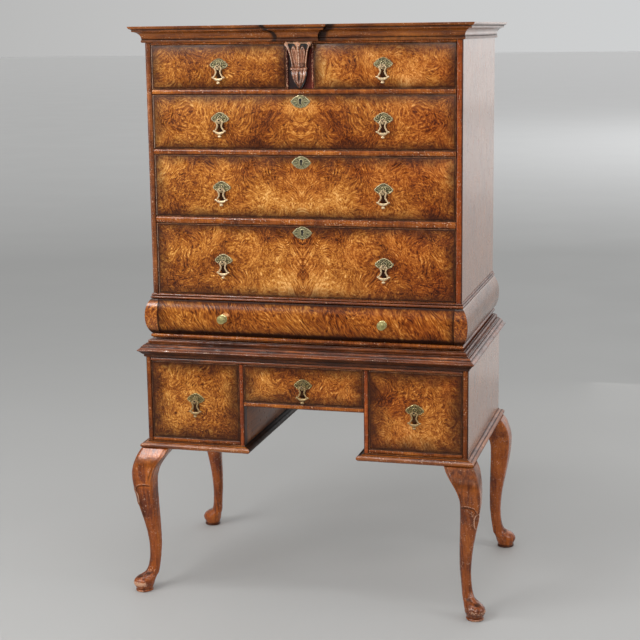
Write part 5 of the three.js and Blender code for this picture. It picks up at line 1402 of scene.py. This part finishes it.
PULLS = {"top_left": [(-202.0, 1335.5)], "top_right": [(202.0, 1335.5)], "stand_left": [(-279.6, 509.5)], "stand_right": [(279.6, 509.5)], "stand_centre": [(0.0, 558.5)]}
for i_, z_ in enumerate((1207.5, 1041.0, 861.8)):
    PULLS[f"long_{i_ + 1}"] = [(-202.0, z_), (202.0, z_)]
KEY_Z = (1252.4, 1107.3, 937.8)
for nm, (x0, x1, z0, z1, face) in drawers.items():
    hh = (z1 - z0 - 0.9) / 2000 if nm != "cushion" else 0.0478
    # each drop gets a painted shadow with grime behind it on its front
    at = [((px_ - (x0 + x1) / 2) / 1000, (pz_ - (z0 + z1) / 2) / 1000) for px_, pz_ in PULLS.get(nm, ())]
    M["burr_" + nm] = burr("burr_" + nm, (x1 - x0 - 1.2) / 2000, hh, pulls=at, cx=(x0 + x1) / 2000, **look[nm])
    lock = (0, KEY_Z[int(nm[-1]) - 1]) if nm.startswith("long") else None
    drawer(nm, x0, x1, z0, z1, face, "burr_" + nm, lock)


# --------------------------------------------------------------------- hardware
def outline(half):
    """A closed outline from its right half, bottom to top, each step with a bulge to the next."""
    pts = []
    for (x0, z0, b), (x1, z1, _) in zip(half[:-1], half[1:]):
        for i in range(6):
            t = i / 6
            dx, dz = x1 - x0, z1 - z0
            k = 4 * t * (1 - t) * b
            pts.append((x0 + dx * t + dz * k, z0 + dz * t - dx * k))
    pts.append((half[-1][0], half[-1][1]))
    left_ = [(-x, z) for x, z in pts[1:-1]][::-1]
    return np.array(pts + left_)


def relief(rim, centre, rings, height, back, at, hole=None):
    """A thin casting: rings from the rim (or from a hole) with a height at each point. Front is -y."""
    x0, y0, z0 = at
    c = np.array(centre, float)
    n = len(rim)
    inner = np.tile(c, (n, 1)) if hole is None else hole
    V = []
    ts = np.linspace(1, 0, rings + 1)
    if hole is None:
        ts = ts[:-1]
    for t in ts:
        P = inner + (rim - inner) * t
        H = height(P, t)
        V += [(x0 + p[0], y0 - h, z0 + p[1]) for p, h in zip(P, H)]
    F = []
    R = len(ts)
    for i in range(R - 1):
        for j in range(n):
            a, b = i * n + j, i * n + (j + 1) % n
            F.append((a, b, b + n, a + n))
    if hole is None:
        H = height(c[None], 0.0)
        V.append((x0 + c[0], y0 - H[0], z0 + c[1]))
        k = len(V) - 1
        o = (R - 1) * n
        F += [(o + j, o + (j + 1) % n, k) for j in range(n)]
    o = len(V)
    V += [(x0 + p[0], y0 + back, z0 + p[1]) for p in rim]
    F += [(j, o + j, o + (j + 1) % n, (j + 1) % n) for j in range(n)]
    if hole is None:
        F.append(tuple(o + j for j in range(n)))
    else:
        q = len(V)
        V += [(x0 + p[0], y0 + back, z0 + p[1]) for p in inner]
        e = (R - 1) * n
        F += [(e + j, e + (j + 1) % n, q + (j + 1) % n, q + j) for j in range(n)]
        F += [(o + j, q + j, q + (j + 1) % n, o + (j + 1) % n) for j in range(n)]
    return V, F


PLATE = outline([(0, -9.5, 0.02), (6.0, -7.4, 0.10), (12.2, -4.4, 0.16), (19.0, -1.4, 0.16), (23.0, 4.2, 0.14), (18.4, 9.8, 0.16), (12.2, 14.2, 0.16), (6.4, 18.0, 0.12), (0, 19.6, 0)])
theta = np.arctan2(PLATE[:, 1] - 5.0, PLATE[:, 0])


def plate_height(P, t):
    d = P - np.array([0, 5.0])
    th, r = np.arctan2(d[:, 1], d[:, 0]), np.hypot(d[:, 0], d[:, 1])
    edge = 0.9 * min(1.0, (1 - t) / 0.06) ** 0.6
    rimb = 0.7 * math.exp(-((t - 0.90) / 0.05) ** 2)
    cut = 0.34 * np.cos(16 * th) * math.exp(-((t - 0.66) / 0.15) ** 2)
    ringb = 0.8 * np.exp(-((r - 5.6) / 0.9) ** 2)
    petals = 0.55 * np.cos(8 * th) * np.exp(-((r - 3.2) / 1.3) ** 2)
    boss = 1.5 * np.sqrt(np.clip(1 - (r / 2.6) ** 2, 0, 1))
    return 0.35 + edge + rimb + cut + ringb + petals + boss


def crescent(at):
    xs = np.linspace(-14.4, 14.4, 41)
    k = np.abs(xs) / 14.4
    zt = -27.6 + 2.6 * k ** 1.6
    zb = -34.6 + 8.2 * k ** 2.1
    V, F, sides = [], [], 16
    for x, a, b in zip(xs, zt, zb):
        c, hz = (a + b) / 2, max((a - b) / 2, 0.5)
        hy = min(2.1, 0.9 + hz * 0.5)
        V += [(at[0] + x, at[1] + hy * math.cos(t), at[2] + c + hz * math.sin(t)) for t in 2 * np.pi * np.arange(sides) / sides]
    for i in range(len(xs) - 1):
        for j in range(sides):
            a, b = i * sides + j, i * sides + (j + 1) % sides
            F.append((a, b, b + sides, a + sides))
    F += [tuple(range(sides)), tuple((len(xs) - 1) * sides + j for j in range(sides))]
    return V, F


def ringx(at, r_out, r_in, half_w, sides=28):
    """An eye round the cross pin, its bore along x."""
    prof = [(r_in, -half_w), (r_out - 0.5, -half_w), (r_out, -half_w + 0.5), (r_out, half_w - 0.5), (r_out - 0.5, half_w), (r_in, half_w)]
    V, F, m = [], [], len(prof)
    for i in range(sides):
        t = 2 * math.pi * i / sides
        V += [(at[0] + h, at[1] + r * math.cos(t), at[2] + r * math.sin(t)) for r, h in prof]
    for i in range(sides):
        for j in range(m):
            a, b = i * m + j, i * m + (j + 1) % m
            c, d = ((i + 1) % sides) * m + j, ((i + 1) % sides) * m + (j + 1) % m
            F.append((a, b, d, c))
    return V, F


def torus(at, major, minor, deep, n=28, m=10):
    V = [(at[0] + (major + minor * math.cos(b)) * math.cos(a), at[1] + deep * math.sin(b), at[2] + (major + minor * math.cos(b)) * math.sin(a))
         for a in 2 * np.pi * np.arange(n) / n for b in 2 * np.pi * np.arange(m) / m]
    F = [(i * m + j, i * m + (j + 1) % m, ((i + 1) % n) * m + (j + 1) % m, ((i + 1) % n) * m + j) for i in range(n) for j in range(m)]
    return V, F


def pull(name, x, z, face, body):
    y = face - 8.5
    at = (x, y, z)
    plate = relief(PLATE, (0, 5.0), 18, plate_height, 8.15, (x, y, z))
    v = np.array(plate[0])
    v[:, 1] = np.where(v[:, 1] > y + 8.0, y + 8.2, v[:, 1] + 7.6)          # the casting lies on the drawer
    shells = [(v, plate[1])]
    for s in (-1, 1):
        shells.append(lathe([(0, 0), (2.3, 0), (2.3, 0.3), (1.9, 0.9), (1.9, 1.5), (0, 1.7)], (x + s * 2.1, y, z), (s, 0, 0), 18))
        a, b = sorted((x + s * 2.15, x + s * 3.75))
        shells.append(prism([(y, z + 2.1), (y - 1.5, z + 1.4), (y - 2.2, z), (y - 1.5, z - 1.4), (y, z - 2.1), (y + 7.2, z - 2.6), (y + 7.2, z + 2.6)], "yz", a, b))
    dull = "_low" if name.startswith("stand") else ""
    cluster(f"pull_{name}_pin", [lathe([(0, -4.2), (1.3, -4.0), (1.1, -3.6), (1.1, 3.6), (1.3, 4.0), (0, 4.2)], at, (1, 0, 0), 14)], "pin", body, f"pull_plate_{name}")
    cluster(f"pull_{name}_plate", shells, "brass_plate" + dull, body, f"pull_plate_{name}", gain=0.8, smooth=40)
    sh = [ringx(at, 3.1, 1.55, 1.6), torus((x, y - 3.4, z + 0.2), 3.3, 0.95, 0.9)]
    for s in (-1, 1):
        # side arm: curled tip, barb, waist, and flare down to the foot
        path = spline([(1.5, -2.2), (4.4, -0.4), (6.4, -1.6), (7.6, -4.0), (6.6, -7.6), (5.2, -12.6), (6.0, -16.6), (8.6, -21.0), (11.2, -25.2), (12.0, -27.4)], 4)
        n = len(path)
        w = [1.65 + 0.4 * math.sin(math.pi * i / (n - 1)) for i in range(n)]
        sh.append(tube([(x + s * p, y + 0.0, z + q) for p, q in path], [(a, 1.7) for a in w]))
        tip = spline([(4.4, -1.6), (5.4, 0.8), (5.0, 2.8), (3.8, 3.2)], 4)
        sh.append(tube([(x + s * p, y - 0.3, z + q) for p, q in tip], [(1.2 - 0.04 * i, 1.3 - 0.04 * i) for i in range(len(tip))], 12))
        barb = spline([(6.8, -3.2), (8.8, -4.0), (10.6, -5.4)], 4)
        sh.append(tube([(x + s * p, y, z + q) for p, q in barb], [(1.35 - 0.09 * i, 1.3 - 0.07 * i) for i in range(len(barb))], 12))
        sh.append(lathe([(0, -2.0), (1.5, -1.7), (2.4, -0.7), (2.4, 0.7), (1.5, 1.7), (0, 2.0)], (x + s * 14.2, y, z - 25.6), (0, 1, 0), 18))
        chev = spline([(4.6, -2.4), (2.4, -4.9), (0.0, -7.0)], 4)
        sh.append(tube([(x + s * p, y, z + q) for p, q in chev], [(0.85, 1.1)] * len(chev), 12))
    sh.append(crescent(at))
    sh.append(lathe([(0, -4.2), (1.8, -4.0), (1.5, -2.8), (3.6, -2.0), (4.7, -0.4), (4.4, 1.2), (2.8, 2.4), (0, 2.9)], (x, y, z - 38.4), (0, 0, -1), 24))
    v, f = sh[-1]
    v = [(px, y + (py - y) * 0.62, pz) for px, py, pz in v]
    sh[-1] = (v, f)
    # the eye round the pin is painted dark, standing in for the shade in its bore
    cluster(f"pull_{name}_drop", sh, "brass_drop" + dull, f"pull_drop_{name}", f"pull_drop_{name}", gain=0.8, smooth=50, shaded_shells=1)


for s, tag in ((-1, "left"), (1, "right")):
    pull(f"top_{tag}", s * 202.0, 1335.5, FACE_U, f"drawer_top_{tag}")
    for i, z in enumerate((1207.5, 1041.0, 861.8)):
        pull(f"long_{i + 1}_{tag}", s * 202.0, z, FACE_U, f"drawer_long_{i + 1}")
    pull(f"stand_{tag}", s * 279.6, 509.5, FACE_S, f"drawer_stand_{tag}")
pull("stand_centre", 0, 558.5, FACE_S, "drawer_stand_centre")

KEY = outline([(0, -15.6, 0.10), (9.0, -13.0, 0.02), (10.2, -14.0, 0.05), (24.6, -0.6, 0.0), (24.6, 0.6, 0.05), (11.6, 12.4, 0.02), (10.0, 11.6, 0.10), (0, 15.9, 0)])
ang = np.arctan2(KEY[:, 1], KEY[:, 0])
hole = []
for t in ang:
    cxh, szh = math.cos(t), math.sin(t)
    r = 7.2 / max(abs(szh), 1e-3)
    r = min(r, 2.2 / max(abs(cxh), 1e-3)) if szh < 0.2 else min(r, 3.3 / max(abs(cxh), 1e-3), 7.0)
    hole.append((cxh * r, szh * r))
HOLE = np.array(hole)


def key_height(P, t):
    r = np.hypot(P[:, 0], P[:, 1] * 1.2)
    th = np.arctan2(P[:, 1], P[:, 0])
    edge = 0.8 * min(1.0, (1 - t) / 0.06) ** 0.6
    return (0.35 + edge + 0.55 * math.exp(-((t - 0.88) / 0.06) ** 2) + 0.9 * math.exp(-((t - 0.10) / 0.10) ** 2)
            + 0.32 * np.cos(14 * th) * math.exp(-((t - 0.55) / 0.2) ** 2)) * np.ones(len(P))


for i, z in enumerate(KEY_Z):
    body = f"drawer_long_{i + 1}"
    v, f = relief(KEY, (0, 0), 14, key_height, -0.05, (0, FACE_U - 0.25, z), hole=HOLE)
    cluster(f"key_plate_{i + 1}_cast", [(v, f)], "brass_key", body, f"key_plate_{i + 1}", gain=0.9, smooth=40)
    # a dark plug behind each keyhole, standing in for the shade inside it
    hv = HOLE * 1.15
    cluster(f"keyhole_{i + 1}", [prism([tuple(p + np.array([0, z])) for p in hv], "xz", FACE_U - 0.5, FACE_U - 0.05)], "dark", body, ())

KNOB = spline([(0.0, 0.0), (0.01, 0.0)], 1) + [(11.3, 0.0), (11.7, 0.5), (11.7, 1.3), (11.0, 2.0), (8.0, 2.6), (5.6, 3.3)] \
    + spline([(4.9, 4.4), (4.6, 6.2), (5.2, 8.0), (7.4, 9.2)], 3) + [(8.6, 9.5), (8.6, 10.2)] + spline([(9.6, 10.6), (11.2, 12.2), (11.7, 14.2), (11.4, 16.2), (10.2, 17.6)], 3) \
    + [(9.6, 18.0), (9.0, 17.8), (8.2, 18.2)] + spline([(7.0, 18.9), (4.0, 19.5), (0.0, 19.8)], 3)
KNOB = [p for i, p in enumerate(KNOB) if i == 0 or abs(p[0] - KNOB[i - 1][0]) + abs(p[1] - KNOB[i - 1][1]) > 1e-4]
KNOB[0] = (0.0, 0.0)
KNOB = [p for i, p in enumerate(KNOB) if i != 1 or p[0] > 0.5]
for s, tag in ((-1, "left"), (1, "right")):
    cluster(f"knob_{tag}_turned", [lathe([(r * 0.94, h) for r, h in KNOB], (s * 201.5, -18.0, 722.3), (0, -1, 0), 40)], "brass_knob", "drawer_cushion", f"knob_{tag}", gain=0.5, smooth=35)


# ------------------------------------------------------------ camera and studio
cam = bpy.data.objects.new("camera", bpy.data.cameras.new("camera"))
bpy.context.scene.collection.objects.link(cam)
rv = np.array([0.1923246, 0.2608946, 0.0122787])
th = np.linalg.norm(rv)
kx, ky, kz = rv / th
K = np.array([[0, -kz, ky], [kz, 0, -kx], [-ky, kx, 0]])
R = np.eye(3) + math.sin(th) * K + (1 - math.cos(th)) * K @ K
W = (np.diag([1, -1, -1]) @ R @ np.array([[1, 0, 0], [0, 0, -1], [0, 1, 0]])).T
mw = Matrix([[*W[i], c] for i, c in enumerate((0.9653, -3.6747, 1.4147))] + [[0, 0, 0, 1]])
cam.matrix_world = mw
cam.data.sensor_width = 36.0
cam.data.lens = 83.52
cam.data.clip_start, cam.data.clip_end = 0.1, 100
bpy.context.scene.camera = cam


def area(name, loc, target, size, power, color=(1, 1, 1), spread=180):
    d = bpy.data.lights.new(name, "AREA")
    d.shape, d.size, d.size_y = "RECTANGLE", size[0], size[1]
    d.energy, d.color = power, color
    d.spread = math.radians(spread)
    o = bpy.data.objects.new(name, d)
    o.location = loc
    o.rotation_euler = (Vector(target) - Vector(loc)).to_track_quat("-Z", "Y").to_euler()
    o.visible_camera = False
    bpy.context.scene.collection.objects.link(o)
    return o


area("softbox_left", (-3.1, -2.3, 1.35), (0, 0, 0.85), (0.6, 2.3), 26, (1.0, 0.985, 0.97))
area("softbox_high", (-1.5, -2.34, 2.27), (0, -0.2, 0.8), (1.3, 0.6), 38)
area("softbox_top", (-0.45, -0.85, 3.3), (-0.45, -0.85, 0.0), (2.6, 0.36), 17)
area("softbox_front", (1.0, -5.6, 3.4), (0, 0, 1.25), (2.6, 1.6), 12.0, spread=60)
area("softbox_right", (3.6, -0.6, 2.0), (0, 0, 0.9), (1.6, 1.8), 30)
area("background_light", (3.2, 15.0, 5.0), (3.2, 15.01, 0), (8, 8), 200, (0.95, 0.98, 1.0))
for i, (z0, rad) in enumerate(((0.0, 0.215), (0.75, 0.10), (1.12, 0.30))):
    h = 2.6 - z0
    area(f"softbox_back_right_{i + 1}", (1.4, 2.3 + 0.05 * i, z0 + h / 2), (1.4, 0, z0 + h / 2), (1.8, h), rad * math.pi * 1.8 * h, (1.0, 0.97, 0.95))

floor_me = bpy.data.meshes.new("floor")
fs = 90.0
floor_me.from_pydata([(-fs, -fs, -0.0004), (fs, -fs, -0.0004), (fs, fs, -0.0004), (-fs, fs, -0.0004)], [], [(0, 1, 2, 3)])
floor = bpy.data.objects.new("floor", floor_me)
bpy.context.scene.collection.objects.link(floor)
g = Nodes("studio_floor")
n = g.noise(g.obj(), 1.3, 3)
ln = g.node("VectorMath", operation="LENGTH")
g.put(ln.inputs[0], g.obj())
near = g.math("DIVIDE", 1.0, g.math("ADD", ln.outputs["Value"], 0.05))
# the floor is painted paler far from the stand and towards its right, standing in for more light there
far_light = g.map(near, 0.010, 0.17, 1.0, 0.0, soft=False)
turn = g.map(g.math("MULTIPLY", g.xyz(g.obj())[0], near), -0.45, -0.02, 0.0, 1.0, soft=False)
pale = g.mix(far_light, g.mix(n, (172, 172, 170), (178, 178, 177)), g.mix(turn, (222, 222, 221), (240, 240, 240)))
g.shader(pale, g.map(n, 0.3, 0.7, 0.55, 0.7), coat=0.0)
floor_me.materials.append(g.m)

world = bpy.data.worlds.new("studio")
bpy.context.scene.world = world
world.use_nodes = True
wt = world.node_tree
wt.nodes.clear()


def wnode(kind, **props):
    n_ = wt.nodes.new("ShaderNode" + kind)
    for k_, v_ in props.items():
        setattr(n_, k_, v_)
    return n_


wo, bg, tc = wnode("OutputWorld"), wnode("Background"), wnode("TexCoord")
dot, side, ring = wnode("VectorMath", operation="DOT_PRODUCT"), wnode("MapRange"), wnode("ValToRGB")
dot.inputs[1].default_value = (0.58, 0.81, 0.0)
wt.links.new(tc.outputs["Generated"], dot.inputs[0])
wt.links.new(dot.outputs["Value"], side.inputs[0])
side.inputs[1].default_value, side.inputs[2].default_value = -1.0, 1.0
stops = [(0.0, (0.15, 0.15, 0.15)), (0.45, (0.26, 0.26, 0.255)), (0.70, (0.46, 0.46, 0.455)), (0.81, (0.57, 0.57, 0.567)), (0.90, (0.63, 0.64, 0.645)), (1.0, (0.72, 0.75, 0.77))]
while len(ring.color_ramp.elements) < len(stops):
    ring.color_ramp.elements.new(0.5)
for e, (p, c) in zip(ring.color_ramp.elements, stops):
    e.position, e.color = p, (*c, 1)
wt.links.new(side.outputs[0], ring.inputs[0])
sep, up, blend = wnode("SeparateXYZ"), wnode("MapRange", interpolation_type="SMOOTHSTEP"), wnode("Mix", data_type="RGBA")
wt.links.new(tc.outputs["Generated"], sep.inputs[0])
wt.links.new(sep.outputs[2], up.inputs[0])
up.inputs[1].default_value, up.inputs[2].default_value = 0.15, 0.85
wt.links.new(up.outputs[0], blend.inputs[0])
wt.links.new(ring.outputs[0], blend.inputs[6])
blend.inputs[7].default_value = (0.70, 0.70, 0.70, 1)
wt.links.new(blend.outputs[2], bg.inputs[0])
wt.links.new(bg.outputs[0], wo.inputs[0])

vs = bpy.context.scene.view_settings
vs.view_transform = "Standard"
vs.look = "None"
vs.exposure, vs.gamma = 0.0, 1.0
